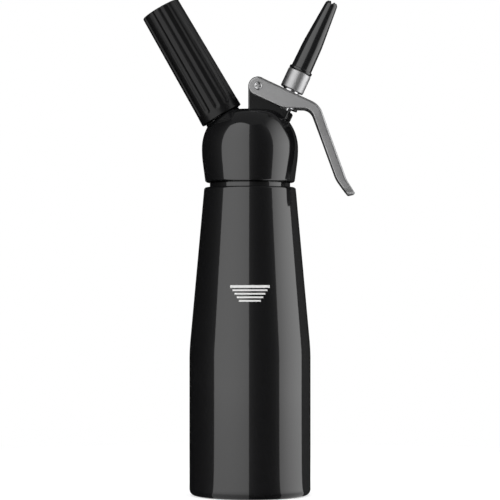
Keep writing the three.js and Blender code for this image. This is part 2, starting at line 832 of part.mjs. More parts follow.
function nozzle() {
  const rimHigh = nozzleRimLow + nozzleRimThickness;
  const outside = roundCorners([
    [0, nozzleSpigotLow],
    [nozzleSpigotRadius, nozzleSpigotLow],
    [nozzleSpigotRadius, nozzleRimLow],
    [nozzleRimRadius, nozzleRimLow, nozzleRimRound],
    [nozzleRimRadius, rimHigh, nozzleRimRound],
    [nozzleRootRadius, rimHigh],
    [nozzleWaistRadius, nozzleWaistHeight, nozzleWaistBlend],
    [nozzleTipRadius, nozzleTip, nozzleTipRound, arcSteps],
    [0, nozzleTip],
  ]);
  const bore = [
    [0, nozzleSpigotLow - overrun],
    [nozzleBore, nozzleSpigotLow - overrun],
    [nozzleBore, nozzleWaistHeight],
    [nozzleTipBore, nozzleTip],
    [nozzleTipBore, nozzleTip + overrun],
    [0, nozzleTip + overrun],
  ];
  return geometryOf(cut(solid(turned(outside)), solid(turned(bore)), ...tipNotches()));
}

// Each wedge runs across the tip and opens two facing notches.
function tipNotches() {
  const growth = (notchDepth + overrun) / notchDepth;
  const wedge = [
    [0, nozzleTip - notchDepth],
    [notchHalfWidth * growth, nozzleTip + overrun],
    [-notchHalfWidth * growth, nozzleTip + overrun],
  ];
  return range(notchPairs).map((i) =>
    solid(plateXZ(wedge, 2 * nozzleTipRadius + overrun).rotateZ((i * Math.PI) / notchPairs)),
  );
}

// Lever

function lever() {
  const whole = solid(plateXZ(leverOutline(), 2 * leverHalfWidth, leverChamfer));
  const narrowed = whole.intersect(solid(leverFront()));
  const slotted = cut(narrowed, towerSlot(), flangePocket());
  return geometryOf(cut(slotted.add(pressingPads()), stemSlot(), leverPivotHole()));
}

// The bar's edges run square to the valve, its heel is round about the pivot, and the
// handle leaves it through a round bend and ends in a flare.
function leverOutline() {
  const [bendX, bendHeight] = placed(barFrame, barEnd, barHalf);
  const down = new THREE.Vector2(Math.sin(handleLean), -Math.cos(handleLean));
  const flare = new THREE.Vector2(Math.sin(flareLean), -Math.cos(flareLean));
  const bend = new THREE.Vector2(bendX, bendHeight);
  const outerFlare = bend.clone().addScaledVector(down, handleLength);
  const outerTip = outerFlare.clone().addScaledVector(flare, flareLength);
  const innerTip = inside(outerTip, flare, tipThickness).addScaledVector(flare, -tipBevel);
  const innerFlare = inside(outerFlare, down, handleThickness).addScaledVector(down, -flareLead);
  const innerBendX = innerFlare.x - (throatHeight - innerFlare.y) * Math.tan(handleLean);
  return roundCorners(
    [
      placed(barFrame, -heelCorner, barHalf),
      ...heelArc(),
      [...placed(barFrame, pivotArm, -barHalf), throatRound],
      [innerBendX, throatHeight, innerBendRound, arcSteps],
      [...innerFlare, flareRound],
      [...innerTip, tipRound],
      [...outerTip, tipRound],
      [...outerFlare, flareRound],
      [bendX, bendHeight, bendRound, arcSteps],
    ],
    true,
  );
}

// A point set off to the lever's inner side, square to a direction down the handle.
function inside(point, direction, distance) {
  return new THREE.Vector2(direction.y, -direction.x).multiplyScalar(distance).add(point);
}

// The heel is an arc about the pivot, tangent to the line from its corner and to the
// bar's lower edge.
function heelArc() {
  const cornerAngle = Math.atan2(barHalf, -heelCorner);
  const tangent = cornerAngle + Math.acos(barHalf / Math.hypot(barHalf, heelCorner));
  const from = THREE.MathUtils.radToDeg(tangent);
  return arc(0, 0, barHalf, from, 270, 2 * arcSteps).map(([x, z]) => placed(barFrame, x, z));
}

// Seen along X the lever is widest at its cheeks, slimmer down the handle and round at its tip.
function leverFront() {
  const tipHeight = lowestLeverPoint();
  const top = pivotHeight + barHalf + overrun;
  const flareHeight = tipHeight + flareLength;
  const half = [
    [leverHalfWidth + overrun, top],
    [leverHalfWidth + overrun, pivotHeight - cheekTaperStart + overrun],
    [leverHalfWidth, pivotHeight - cheekTaperStart],
    [handleHalfWidth, pivotHeight - cheekTaperEnd, cheekTaperRound],
    [handleHalfWidth, flareHeight, cheekTaperRound],
    [handleTipHalfWidth, tipHeight, handleTipRound, arcSteps],
  ];
  const mirrored = half.map(([y, z, ...rounding]) => [-y, z, ...rounding]).reverse();
  const outline = roundCorners([...half, ...mirrored], true);
  return postYZ(outline, pivotX - barHalf - overrun, pivotX + 2 * barEnd);
}

function lowestLeverPoint() {
  return Math.min(...leverOutline().map(([, z]) => z));
}

function towerSlot() {
  const low = pivotX - barHalf - overrun;
  const high = pivotX + towerReach + prongGap;
  const reach = barEnd;
  return solid(block(low, high, forkHalfWidth, pivotHeight - reach, pivotHeight + reach));
}

function flangePocket() {
  const end = flangeRadius + forkEndGap;
  const ceiling = flangeTop + pocketRise;
  return leaned(block(-pivotArm, end, forkHalfWidth, ceiling - pivotArm, ceiling), valveFrame);
}

function stemSlot() {
  const end = stemRadius + forkEndGap;
  const half = stemRadius + runningGap;
  return leaned(block(-pivotArm, end, half, -pivotArm, pivotArm), valveFrame);
}

function pressingPads() {
  const half = forkHalfWidth + padRoot;
  const height = flangeTop + seatGap + padRadius;
  const pads = rod(padRadius, -half, half).rotateX(Math.PI / 2).translate(0, 0, height);
  return leaned(pads, valveFrame);
}

function leverPivotHole() {
  const reach = leverHalfWidth + overrun;
  return solid(throughPivot(rod(pivotHole, -reach, reach, smallSteps)));
}

// Pivot fasteners, made round +Z and laid along Y: the screw's head is at the front

function fastenerHead(radius) {
  const crown = fastenerHeadHeight - fastenerHeadRim;
  const dome = arc(0, 0, 1, 0, 90).map(([across, up]) => [
    radius * across,
    fastenerHeadRim + crown * up,
  ]);
  dome[dome.length - 1][0] = 0;
  return turned([[0, 0], [radius, 0], ...dome], smallSteps);
}

function pivotBarrel() {
  const face = leverHalfWidth + seatGap;
  const front = -leverHalfWidth + barrelInset;
  const back = leverHalfWidth - barrelEndWall;
  const body = join(
    solid(fastenerHead(barrelHeadRadius).translate(0, 0, face)),
    solid(rod(barrelRadius, front, face + fastenerHeadRim, smallSteps)),
  );
  const bore = rod(screwRadius + seatGap, front - overrun, back, smallSteps);
  return throughPivot(geometryOf(cut(body, solid(bore))));
}

function pivotScrew() {
  const face = leverHalfWidth + seatGap;
  const shank = rod(screwRadius, -face - fastenerHeadRim, -face + screwLength, smallSteps);
  const cap = fastenerHead(screwHeadRadius).rotateX(Math.PI).translate(0, 0, -face);
  return throughPivot(geometryOf(join(solid(cap), solid(shank))));
}

// Finishes

function finish(color, roughness, metalness) {
  return new THREE.MeshStandardMaterial({ color, roughness, metalness });
}

const blackLacquer = () => finish(0x151517, 0.18, 0.0);
const blackPlastic = () => finish(0x1b1b1d, 0.45, 0.0);
const glossPlastic = () => finish(0x141416, 0.2, 0.0);
const satinMetal = () => finish(0x9a9a98, 0.42, 1.0);
const brightSteel = () => finish(0xc9cacc, 0.16, 1.0);
const chargerSteel = () => finish(0xb9bcc0, 0.28, 1.0);
const brass = () => finish(0xb69a5c, 0.35, 1.0);
const clearSilicone = () => finish(0xd8d9d6, 0.5, 0.0);
const blackRubber = () => finish(0x202022, 0.7, 0.0);

// The assembled dispenser

function piece(name, geometry, material) {
  const mesh = new THREE.Mesh(geometry, material);
  mesh.name = name;
  return mesh;
}

function leaningSide(frame, ...pieces) {
  const side = new THREE.Group();
  side.applyMatrix4(frame);
  return side.add(...pieces);
}

const dispenser = new THREE.Group();
dispenser.add(
  piece('bottle', bottle(), blackLacquer()),
  piece('head_gasket', headGasket(), clearSilicone()),
  piece('head', head(), blackLacquer()),
  piece('lever', lever(), satinMetal()),
  piece('pivot_barrel', pivotBarrel(), brightSteel()),
  piece('pivot_screw', pivotScrew(), brightSteel()),
  leaningSide(
    chargerFrame,
    piece('charger_holder', chargerHolder(), blackPlastic()),
    piece('gas_charger', gasCharger(), chargerSteel()),
    piece('charger_cap', chargerCap(), chargerSteel()),
    piece('charger_seal', chargerSeal(), blackRubber()),
    piece('piercing_valve_body', piercingValveBody(), brass()),
    piece('piercing_needle', piercingNeedle(), brightSteel()),
    piece('check_valve_sleeve', checkValveSleeve(), clearSilicone()),
  ),
  leaningSide(
    valveFrame,
    piece('valve_stem', valveStem(), brightSteel()),
    piece('stem_ring_upper', stemRing(ringCentres[0]), blackRubber()),
    piece('stem_ring_lower', stemRing(ringCentres[1]), blackRubber()),
    piece('valve_seal', valveSeal(), clearSilicone()),
    piece('valve_spring', valveSpring(), brightSteel()),
    piece('valve_retainer', valveRetainer(), brass()),
    piece('nozzle_adapter', nozzleAdapter(), brightSteel()),
    piece('nozzle_seal_ring', nozzleSealRing(), blackRubber()),
    piece('nozzle', nozzle(), glossPlastic()),
  ),
);

export default dispenser;
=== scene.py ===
"""The looks of a half-litre whipped cream dispenser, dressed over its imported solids.

Shapes are drawn in millimetres and scaled to metres when a piece is settled in its place. The front
is at -Y, the charger holder leans to -X and the lever's handle hangs at +X.
"""
import json
from functools import partial
from math import acos, atan2, copysign, cos, degrees, exp, hypot, log, pi, radians, sin, tan

import bmesh
import bpy
from mathutils import Matrix, Vector


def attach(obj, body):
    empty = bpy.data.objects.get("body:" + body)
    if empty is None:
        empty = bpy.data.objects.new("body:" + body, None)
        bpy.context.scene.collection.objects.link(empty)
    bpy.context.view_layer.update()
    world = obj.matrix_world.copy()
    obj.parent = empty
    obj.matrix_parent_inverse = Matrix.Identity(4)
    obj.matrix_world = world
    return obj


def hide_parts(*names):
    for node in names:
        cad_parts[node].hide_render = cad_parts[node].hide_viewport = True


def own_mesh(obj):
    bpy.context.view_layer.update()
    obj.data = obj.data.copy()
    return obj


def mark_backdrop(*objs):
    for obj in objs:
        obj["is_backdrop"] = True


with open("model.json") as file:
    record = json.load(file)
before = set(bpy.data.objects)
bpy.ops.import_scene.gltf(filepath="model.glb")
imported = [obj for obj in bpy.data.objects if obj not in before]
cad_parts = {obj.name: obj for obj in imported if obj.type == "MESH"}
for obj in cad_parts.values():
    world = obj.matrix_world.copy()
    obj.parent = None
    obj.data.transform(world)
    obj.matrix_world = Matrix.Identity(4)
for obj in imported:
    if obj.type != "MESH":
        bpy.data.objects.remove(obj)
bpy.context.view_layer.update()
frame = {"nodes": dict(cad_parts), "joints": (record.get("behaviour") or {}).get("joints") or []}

# Bottle
# A drawn aluminium bottle in glossy black lacquer: a rolled foot round a hollow base, a straight
# cylinder, a long cone, a rounded shoulder, and above a narrow groove the neck that takes the head.

mm = 0.001
bottle_radius = 38
bottle_wall = 1.8
foot_ring_inner = 27
foot_round = 4
foot_wall = 2.2
base_rise = 2.5
inner_foot_round = 5
taper_start = 91.1
taper_blend = 130
shoulder_radius = 28.7
shoulder_height = 193.2
shoulder_round = 1.6
inner_shoulder = 190.2
inner_shoulder_round = 2.5
collar_radius = 25.2
collar_height = 195.9
collar_edge = 0.25
neck_radius = 23.6
neck_bore = 20.6
mouth_height = 214
mouth_round = 0.8
round_steps = 10
turn_steps = 192
dish_steps = 12
crease = radians(32)
drift_size = 12


def rounded(corners, closed=False, steps=round_steps):
    """Each corner (x, y, radius) becomes an arc that is tangent to both of its sides."""
    points = []
    for i, corner in enumerate(corners):
        place = Vector(corner[:2])
        at_end = not closed and i in (0, len(corners) - 1)
        if at_end or len(corner) == len(place):
            points.append(place)
            continue
        radius = corner[-1]
        back = (Vector(corners[i - 1][:2]) - place).normalized()
        ahead = (Vector(corners[(i + 1) % len(corners)][:2]) - place).normalized()
        half = back.angle(ahead) / 2
        centre = place + (back + ahead).normalized() * (radius / sin(half))
        start = place + back * (radius / tan(half)) - centre
        turn = copysign(pi - 2 * half, -back.cross(ahead))
        points += [centre + Matrix.Rotation(turn * k / steps, 2) @ start for k in range(steps + 1)]
    return points


def arc(x, y, radius, first, last, steps=round_steps):
    """Points on a circle about (x, y), from one angle to another in degrees."""
    turns = [radians(first + (last - first) * k / steps) for k in range(steps + 1)]
    return [Vector((x + radius * cos(turn), y + radius * sin(turn))) for turn in turns]


def placed(name, mesh):
    """An object in the scene that shows a mesh."""
    made = bpy.data.objects.new(name, mesh)
    bpy.context.scene.collection.objects.link(made)
    return made


def from_faces(name, points, faces):
    """An object from corner points and faces, with its faces turned outwards."""
    mesh = bpy.data.meshes.new(name)
    mesh.from_pydata([tuple(point) for point in points], [], faces)
    shape = bmesh.new()
    shape.from_mesh(mesh)
    bmesh.ops.recalc_face_normals(shape, faces=shape.faces)
    if shape.calc_volume(signed=True) < 0:
        bmesh.ops.reverse_faces(shape, faces=shape.faces)
    shape.to_mesh(mesh)
    shape.free()
    return placed(name, mesh)


def turned(name, profile, steps=turn_steps):
    """A body turned round +Z from (radius, height) points that end on the axis or close on themselves."""
    on_axis = 1e-6
    points, rings = [], []
    for radius, height in profile:
        count = 1 if radius < on_axis else steps
        rings.append(range(len(points), len(points) + count))
        turns = [2 * pi * k / steps for k in range(count)]
        points += [(radius * cos(turn), radius * sin(turn), height) for turn in turns]
    pairs = list(zip(rings, rings[1:]))
    if profile[0][0] >= on_axis:
        pairs.append((rings[-1], rings[0]))
    faces = []
    for low, high in pairs:
        for k in range(steps if len(low) + len(high) > 2 else 0):
            lower = [low[k % len(low)], low[(k + 1) % len(low)]]
            upper = [high[(k + 1) % len(high)], high[k % len(high)]]
            faces.append(list(dict.fromkeys(lower + upper)))
    return from_faces(name, points, faces)


def settled(piece, material=None, lean=Matrix()):
    """Scales a finished shape to metres in its own leaning frame, shades its curves and dresses it."""
    piece.data.transform(Matrix.Scale(mm, 4) @ lean)
    piece.data.shade_smooth()
    piece.data.set_sharp_from_angle(angle=crease)
    if material:
        piece.data.materials.clear()
        piece.data.materials.append(material)
    return piece


def feed(socket, source):
    """Gives a node's socket a plain value, or links it to another socket or to a node's first one."""
    if isinstance(source, bpy.types.Node):
        source = source.outputs[0]
    if isinstance(source, bpy.types.NodeSocket):
        socket.id_data.links.new(source, socket)
    elif source is not None:
        socket.default_value = source


def step(tree, kind, *sources, **settings):
    """One more node in a tree, with its inputs fed in their order."""
    made = tree.nodes.new(kind)
    for setting, value in settings.items():
        setattr(made, setting, value)
    for socket, source in zip([s for s in made.inputs if s.enabled], sources):
        feed(socket, source)
    return made


def with_nodes(owner):
    """Turns on the nodes of a material or a world, and gives it back with its tree."""
    owner.use_nodes = True
    return owner, owner.node_tree


def ramp(tree, source, *colours):
    """A colour that runs from one to another as the source goes from 0 to 1."""
    made = step(tree, "ShaderNodeValToRGB", source)
    for element, colour in zip(made.color_ramp.elements, colours):
        element.color = (*colour, 1)
    return made


def finish(name, colour, worn, gloss, grain, relief, lean=Matrix(), stretch=(1, 1, 1), **sockets):
    """A surface whose colour and gloss drift a little, with a fine relief, all in the piece's own frame."""
    material, tree = with_nodes(bpy.data.materials.new(name))
    back = lean.inverted()
    spot = step(tree, "ShaderNodeTexCoord").outputs["Object"]
    turned_back = step(tree, "ShaderNodeMapping", spot, back.to_translation() * mm, back.to_euler())
    stretched = step(tree, "ShaderNodeMapping", turned_back, None, None, stretch)
    drift, fine = step(tree, "ShaderNodeTexNoise", stretched), step(tree, "ShaderNodeTexNoise", stretched)
    feed(drift.inputs["Scale"], 1 / (drift_size * grain * mm))
    feed(fine.inputs["Scale"], 1 / (grain * mm))
    bump = step(tree, "ShaderNodeBump")
    feed(bump.inputs["Distance"], relief * mm)
    feed(bump.inputs["Height"], fine)
    sockets["Base_Color"] = ramp(tree, drift, colour, worn)
    sockets["Roughness"] = step(tree, "ShaderNodeMapRange", fine, None, None, *gloss)
    sockets["Normal"] = bump
    for socket, source in sockets.items():
        feed(tree.nodes["Principled BSDF"].inputs[socket.replace("_", " ")], source)
    return material


lacquer = finish(
    "black_lacquer", colour=(0.004, 0.004, 0.0045), worn=(0.006, 0.006, 0.0065), gloss=(0.045, 0.075),
    grain=1.6, relief=0.004, IOR=1.5, Specular_IOR_Level=0.8,
)
outer_wall = rounded([
    (foot_ring_inner, 0),
    (bottle_radius, 0, foot_round),
    (bottle_radius, taper_start, taper_blend),
    (shoulder_radius, shoulder_height, shoulder_round),
    (collar_radius, shoulder_height),
    (collar_radius, collar_height, collar_edge),
    (neck_radius, collar_height),
    (neck_radius, mouth_height, mouth_round),
    (neck_bore, mouth_height, mouth_round),
    (neck_bore, inner_shoulder, inner_shoulder_round),
    (shoulder_radius - bottle_wall, inner_shoulder, inner_shoulder_round),
    (bottle_radius - bottle_wall, taper_start, taper_blend),
    (bottle_radius - bottle_wall, foot_wall, inner_foot_round),
    (foot_ring_inner, foot_wall),
])
dish = [
    Vector((foot_ring_inner * k / dish_steps, base_rise * (1 - (k / dish_steps) ** 2)))
    for k in range(dish_steps)
]
inner_dish = [point + Vector((0, foot_wall)) for point in reversed(dish)]
bottle = turned("bottle_dressed", [*dish, *outer_wall, *inner_dish])
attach(settled(bottle, lacquer), "bottle")
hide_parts("bottle")

# Threads
# The neck's coarse thread and the finer one of the charger's spigot, each rolled as one round-topped
# ridge that runs out at both ends. They are wound along a spiral, half sunk in the metal under them.

neck_pitch = 3
neck_thread_start = 199.4
neck_thread_turns = 3.6
neck_ridge = 1.3
spigot_radius = 9.5
spigot_pitch = 2
spigot_thread_start = 2.4
spigot_thread_turns = 3.9
spigot_ridge = 0.5
run_out = 0.06
spiral_steps = 90
ridge_steps = 14


def joint(name):
    """What the frame says of one joint."""
    return next(entry for entry in frame["joints"] if entry["name"] == name)


def leaning(name):
    """The frame of a leaning side, in millimetres: its origin and +Z are those of the joint's axis."""
    up, across = Vector(joint(name)["axis"]), Vector((0, 1, 0))
    turn = Matrix((across.cross(up), across, up)).transposed().to_4x4()
    return Matrix.Translation(Vector(joint(name)["pos_m"]) / mm) @ turn


def node_tree(name, sizes):
    """An empty Geometry Nodes tree, the sizes given to its named inputs, and what adds a node to it."""
    tree = bpy.data.node_groups.new(name, "GeometryNodeTree")
    tree.interface.new_socket("Geometry", in_out="INPUT", socket_type="NodeSocketGeometry")
    for size in sizes:
        tree.interface.new_socket(size, in_out="INPUT", socket_type="NodeSocketFloat")
    tree.interface.new_socket("Material", in_out="INPUT", socket_type="NodeSocketMaterial")
    tree.interface.new_socket("Geometry", in_out="OUTPUT", socket_type="NodeSocketGeometry")
    return tree, step(tree, "NodeGroupInput").outputs, partial(step, tree)


def calc(operation, *sources):
    """The result of one Math node, in the tree that its sources belong to."""
    tree = next(source.id_data for source in sources if not isinstance(source, (int, float)))
    return step(tree, "ShaderNodeMath", *sources, operation=operation)


plus, minus, times, over = (partial(calc, kind) for kind in ("ADD", "SUBTRACT", "MULTIPLY", "DIVIDE"))


def close_tree(tree, geometry, material):
    """Ends a tree in real geometry that carries its material."""
    real = step(tree, "GeometryNodeRealizeInstances", geometry)
    step(tree, "NodeGroupOutput", step(tree, "GeometryNodeSetMaterial", real, None, material))


def baked(piece):
    """Turns what the modifiers show into the piece's own plain mesh, and takes them off."""
    bpy.context.view_layer.update()
    seen = piece.evaluated_get(bpy.context.evaluated_depsgraph_get())
    mesh = bpy.data.meshes.new_from_object(seen)
    piece.modifiers.clear()
    piece.data = mesh
    return piece


def grown(piece, tree, material, **sizes):
    """Runs a tree on a piece with the sizes given to its named inputs."""
    modifier = piece.modifiers.new(tree.name, "NODES")
    modifier.node_group = tree
    wanted = {name.replace("_", " "): float(value) for name, value in sizes.items()}
    wanted["Material"] = material
    for item in tree.interface.items_tree:
        if item.in_out == "INPUT" and item.name in wanted:
            modifier[item.identifier] = wanted[item.name]
    return baked(piece)


def empty_piece(name):
    """An object with no mesh yet, for a tree to fill."""
    return placed(name, bpy.data.meshes.new(name))


thread_tree, given, add = node_tree("rolled_thread", [
    "Radius", "Start", "Pitch", "Turns", "Ridge", "Run out",
])
rise = times(given["Pitch"], given["Turns"])
spiral = add("GeometryNodeCurveSpiral", spiral_steps, given["Turns"], given["Radius"], given["Radius"], rise)
upright = add("GeometryNodeSetCurveNormal", spiral, None, mode="Z_UP")
lift = add("ShaderNodeCombineXYZ", 0.0, 0.0, given["Start"])
raised = add("GeometryNodeSetPosition", upright, None, None, lift)
along = add("GeometryNodeSplineParameter")
from_end = calc("MINIMUM", along, minus(1.0, along))
fading = add("ShaderNodeMath", from_end, given["Run out"], operation="DIVIDE", use_clamp=True)
section = add("GeometryNodeCurvePrimitiveCircle", ridge_steps)
feed(section.inputs["Radius"], given["Ridge"])
close_tree(thread_tree, add("GeometryNodeCurveToMesh", raised, section, fading, True), given["Material"])

charger_side = leaning("holder_turn")
neck_thread = grown(
    empty_piece("neck_thread"), thread_tree, lacquer, Radius=neck_radius, Start=neck_thread_start,
    Pitch=neck_pitch, Turns=neck_thread_turns, Ridge=neck_ridge, Run_out=run_out,
)
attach(settled(neck_thread), "bottle")
spigot_thread = grown(
    empty_piece("spigot_thread"), thread_tree, lacquer, Radius=spigot_radius, Start=spigot_thread_start,
    Pitch=spigot_pitch, Turns=spigot_thread_turns, Ridge=spigot_ridge, Run_out=run_out,
)
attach(settled(spigot_thread, lean=charger_side), "head")

# Graduation mark
# Five white bars, screen printed on the cone as a thin film that follows its curve, wide at the top
# and narrower below. They stand for the filling level of a half-litre charge.

bar_count = 5
top_bar_width = 24.8
top_bar_thickness = 1.65
top_bar_height = 131.07
lower_bar_width = 21.8
lower_bar_thickness = 1.05
lower_bar_height = 128.78
bar_narrowing = 2.75
bar_pitch = 2.16
bar_columns = 24
film = 0.06
cone_slope = (bottle_radius - shoulder_radius) / (shoulder_height - taper_start)

white_print = finish(
    "white_print", colour=(0.87, 0.87, 0.86), worn=(0.94, 0.94, 0.93), gloss=(0.35, 0.5), grain=0.4,
    relief=0.003,
)
bar_tree, given, add = node_tree("wrapped_bars", [
    "Bars", "First height", "Pitch", "Width", "Narrowing", "Thickness", "Film", "Cone radius", "Cone height",
    "Slope",
])
first_place = add("ShaderNodeCombineXYZ", 0.0, 0.0, given["First height"])
down = add("ShaderNodeCombineXYZ", 0.0, 0.0, times(given["Pitch"], -1.0))
row = add("GeometryNodeMeshLine", given["Bars"], first_place, down)
number = add("GeometryNodeInputIndex")
bar_width = minus(given["Width"], times(number, given["Narrowing"]))
bar_size = add("ShaderNodeCombineXYZ", bar_width, given["Film"], given["Thickness"])
unit_bar = add("GeometryNodeMeshCube", (1.0, 1.0, 1.0), bar_columns, 2, 2)
bars = add("GeometryNodeInstanceOnPoints", row, None, unit_bar)
feed(bars.inputs["Scale"], bar_size)
flat = add("GeometryNodeRealizeInstances", bars)
flat_x, flat_y, flat_z = add("ShaderNodeSeparateXYZ", add("GeometryNodeInputPosition")).outputs
cone = minus(given["Cone radius"], times(minus(flat_z, given["Cone height"]), given["Slope"]))
bar_turn = over(flat_x, cone)
bar_reach = minus(cone, flat_y)
aside = times(bar_reach, calc("SINE", bar_turn))
forward = times(times(bar_reach, calc("COSINE", bar_turn)), -1.0)
wrapped = add("ShaderNodeCombineXYZ", aside, forward, flat_z)
close_tree(bar_tree, add("GeometryNodeSetPosition", flat, None, wrapped), given["Material"])

for name, count, height, wide, thick in (
    ("graduation_top_bar", 1, top_bar_height, top_bar_width, top_bar_thickness),
    ("graduation_bars", bar_count - 1, lower_bar_height, lower_bar_width, lower_bar_thickness),
):
    mark = grown(
        empty_piece(name), bar_tree, white_print, Bars=count, First_height=height, Pitch=bar_pitch,
        Width=wide, Narrowing=bar_narrowing, Thickness=thick, Cone_radius=bottle_radius,
        Cone_height=taper_start, Slope=cone_slope, Film=film,
    )
    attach(settled(mark), "bottle")

# Head casting
# One aluminium casting in the bottle's lacquer: a skirt that flares into a dome, faced off under the
# charger holder, a boss and threaded spigot for the charger, and a boss that guides the valve.

skirt_edge = 196.2
skirt_radius = 28
skirt_bore = 25.5
skirt_round = 1.6
gasket_seat = 216.6
cavity_rise = 15.5
dome_widest = 30.2
dome_centre = (2.2, 217.6)
flare_height = 212.81
flare_round = 60
dome_arc = 28
dome_arc_end = 47.98
dome_top = 241.8
dome_edge_share = 0.98
dome_steps = 40
spot_face_radius = 14.4
face_clearance = -0.3
charger_boss_radius = 11.6
charger_boss_depth = 26
boss_edge = 0.5
spigot_top = 11.6
spigot_edge = 0.8
spigot_bore = 5
inlet_floor = 5
inlet_bore = 3.5
inlet_boss_radius = 6.2
inlet_boss_depth = 13
sleeve_room_radius = 4.8
holder_thread_depth = 12.6
valve_boss_radius = 7.5
valve_boss_top = -13.4
valve_boss_edge = 0.8
valve_root_radius = 10
valve_root_end = -34
valve_ledge = -22
valve_chamber_radius = 8
flange_room_radius = 9.2
stem_bore = 5.6
stem_top = 5.5
port_neck_length = 1.8


def joined(name, *pieces):
    """One object from several, each of which keeps its own closed surface."""
    shape = bmesh.new()
    for piece in pieces:
        shape.from_mesh(piece.data)
        bpy.data.objects.remove(piece)
    mesh = bpy.data.meshes.new(name)
    shape.to_mesh(mesh)
    shape.free()
    return placed(name, mesh)


def leaned(piece, lean):
    """Turns a shape into a leaning frame."""
    piece.data.transform(lean)
    return piece


def cut_with(piece, tool, operation="DIFFERENCE"):
    """Cuts one shape with another, joins the two, or keeps what they share."""
    modifier = piece.modifiers.new(operation, "BOOLEAN")
    modifier.object = tool
    modifier.operation = operation
    modifier.solver = "MANIFOLD"
    baked(piece)
    bpy.data.objects.remove(tool)
    return piece


def prism(name, outline, low, high, turn=Matrix()):
    """A plate with that outline, laid flat between two heights and then turned."""
    count = len(outline)
    points = [(*point[:2], height) for height in (low, high) for point in outline]
    sides = [[k, (k + 1) % count, (k + 1) % count + count, k + count] for k in range(count)]
    caps = [list(range(count)), list(range(count, 2 * count))]
    return leaned(from_faces(name, points, sides + caps), turn)


def oblong(low, high, half, *corner):
    """The corners of a rectangle that lies across the middle, each with a rounding if one is given."""
    return [(low, -half, *corner), (high, -half, *corner), (high, half, *corner), (low, half, *corner)]


def rod(name, radius, low, high, lean=Matrix(), edge=0):
    """A round bar along a leaning frame's axis, with its upper edge chamfered."""
    bar_steps = 96
    profile = [(0, low), (radius, low), (radius, high - edge), (radius - edge, high), (0, high)]
    return leaned(turned(name, profile, bar_steps), lean)


valve_side = leaning("nozzle_turn")
dome_side = arc(*dome_centre, dome_arc, 0, dome_arc_end, dome_steps)
slope_length = (dome_top - dome_side[-1].y) / cos(radians(dome_arc_end))
top_corner = dome_side[-1].x - slope_length * sin(radians(dome_arc_end))
top_round = dome_edge_share * slope_length / tan(radians(90 - dome_arc_end) / 2)
dome_profile = rounded([
    (0, skirt_edge),
    (skirt_radius, skirt_edge, skirt_round),
    (dome_widest, flare_height, flare_round),
    *dome_side,
    (top_corner, dome_top, top_round),
    (0, dome_top),
], steps=dome_steps // 2)
quarter = arc(0, 0, 1, 0, 90, dome_steps)
vault = [Vector((neck_bore * point.x, gasket_seat + cavity_rise * point.y)) for point in quarter]
vault[-1].x = 0
past = 2
room_low = gasket_seat - past
room = turned("room", [(0, room_low), (neck_bore, room_low), *vault])
cut_with(room, rod("inlet_boss", inlet_boss_radius, -inlet_boss_depth, 0, charger_side))
cut_with(room, rod("valve_root", valve_root_radius, valve_root_end, valve_boss_top, valve_side))

head = turned("head_casting", dome_profile)
cut_with(head, rod("facing", spot_face_radius, face_clearance, holder_thread_depth, charger_side))
for boss in (
    rod("charger_boss", charger_boss_radius, -charger_boss_depth, face_clearance, charger_side, boss_edge),
    rod("spigot", spigot_radius, face_clearance - past, spigot_top, charger_side, spigot_edge),
    rod("valve_boss", valve_boss_radius, valve_root_end, valve_boss_top, valve_side, valve_boss_edge),
):
    cut_with(head, boss, "UNION")

# Pivot tower
# The casting's tall post between the lever's cheeks, with a rounded crown about the pivot, a deck that
# slopes to the valve boss and a leaning end with rounded corners. A cast fillet runs it into the dome.

tower_reach = 6
tower_half_width = 8.8
tower_corner = 0.8
tower_end = 4.7
tower_end_corner = 1.5
tower_root = 232
tower_fillet = 0.8
fillet_share = 0.8
fillet_steps = 12
fillet_sink = 0.03
fillet_root = 0.8
pivot_hole = 2.3
upright_turn = Matrix.Rotation(radians(90), 4, "X")

pivot = Vector(joint("lever_pivot")["pos_m"]) / mm
boss_rim = valve_side @ Vector((0, 0, valve_boss_top))
deck_slope = tan(atan2(valve_side.col[2].x, valve_side.col[2].z))


def tower_top(x):
    """How high the tower's deck stands at a place across the front."""
    return boss_rim.z + (boss_rim.x - x) * deck_slope


deck_end = pivot.x + tower_reach
deck_corner = valve_side @ Vector((tower_end, 0, valve_boss_top))
tower_side = [
    (pivot.x - tower_reach, tower_root),
    (deck_corner.x - (deck_corner.z - tower_root) * deck_slope, tower_root),
    (deck_corner.x, deck_corner.z),
    (deck_end, tower_top(deck_end)),
    *arc(pivot.x, pivot.z, tower_reach, 0, 180, dome_steps),
]
tower_front = oblong(pivot.x - tower_reach, deck_corner.x, tower_half_width, tower_corner)
tower_plan = rounded(tower_front, closed=True)
side_half = tower_half_width + past
tower = prism("tower", tower_side, -side_half, side_half, upright_turn)
cut_with(tower, prism("post", tower_plan, tower_root - past, pivot.z + tower_reach + past), "INTERSECT")
end_plan = rounded([
    (-tower_root, -tower_half_width),
    (tower_end, -tower_half_width, tower_end_corner),
    (tower_end, tower_half_width, tower_end_corner),
    (-tower_root, tower_half_width),
], closed=True)
cut_with(tower, prism("end", end_plan, valve_root_end, -valve_root_end, valve_side), "INTERSECT")
cut_with(tower, rod("flange_room", flange_room_radius, valve_boss_top, stem_top, valve_side))
cut_with(head, tower, "UNION")


def dome_height(x, y):
    """How high the dome's skin stands over a point of its plan."""
    far = hypot(x, y)
    skin = [point for point in dome_profile if point[1] >= dome_centre[1]]
    for outer, inner in zip(skin, skin[1:]):
        if inner[0] <= far <= outer[0]:
            share = (outer[0] - far) / max(outer[0] - inner[0], fillet_sink)
            return outer[1] + (inner[1] - outer[1]) * share
    return dome_centre[1] if far > skin[0][0] else dome_top


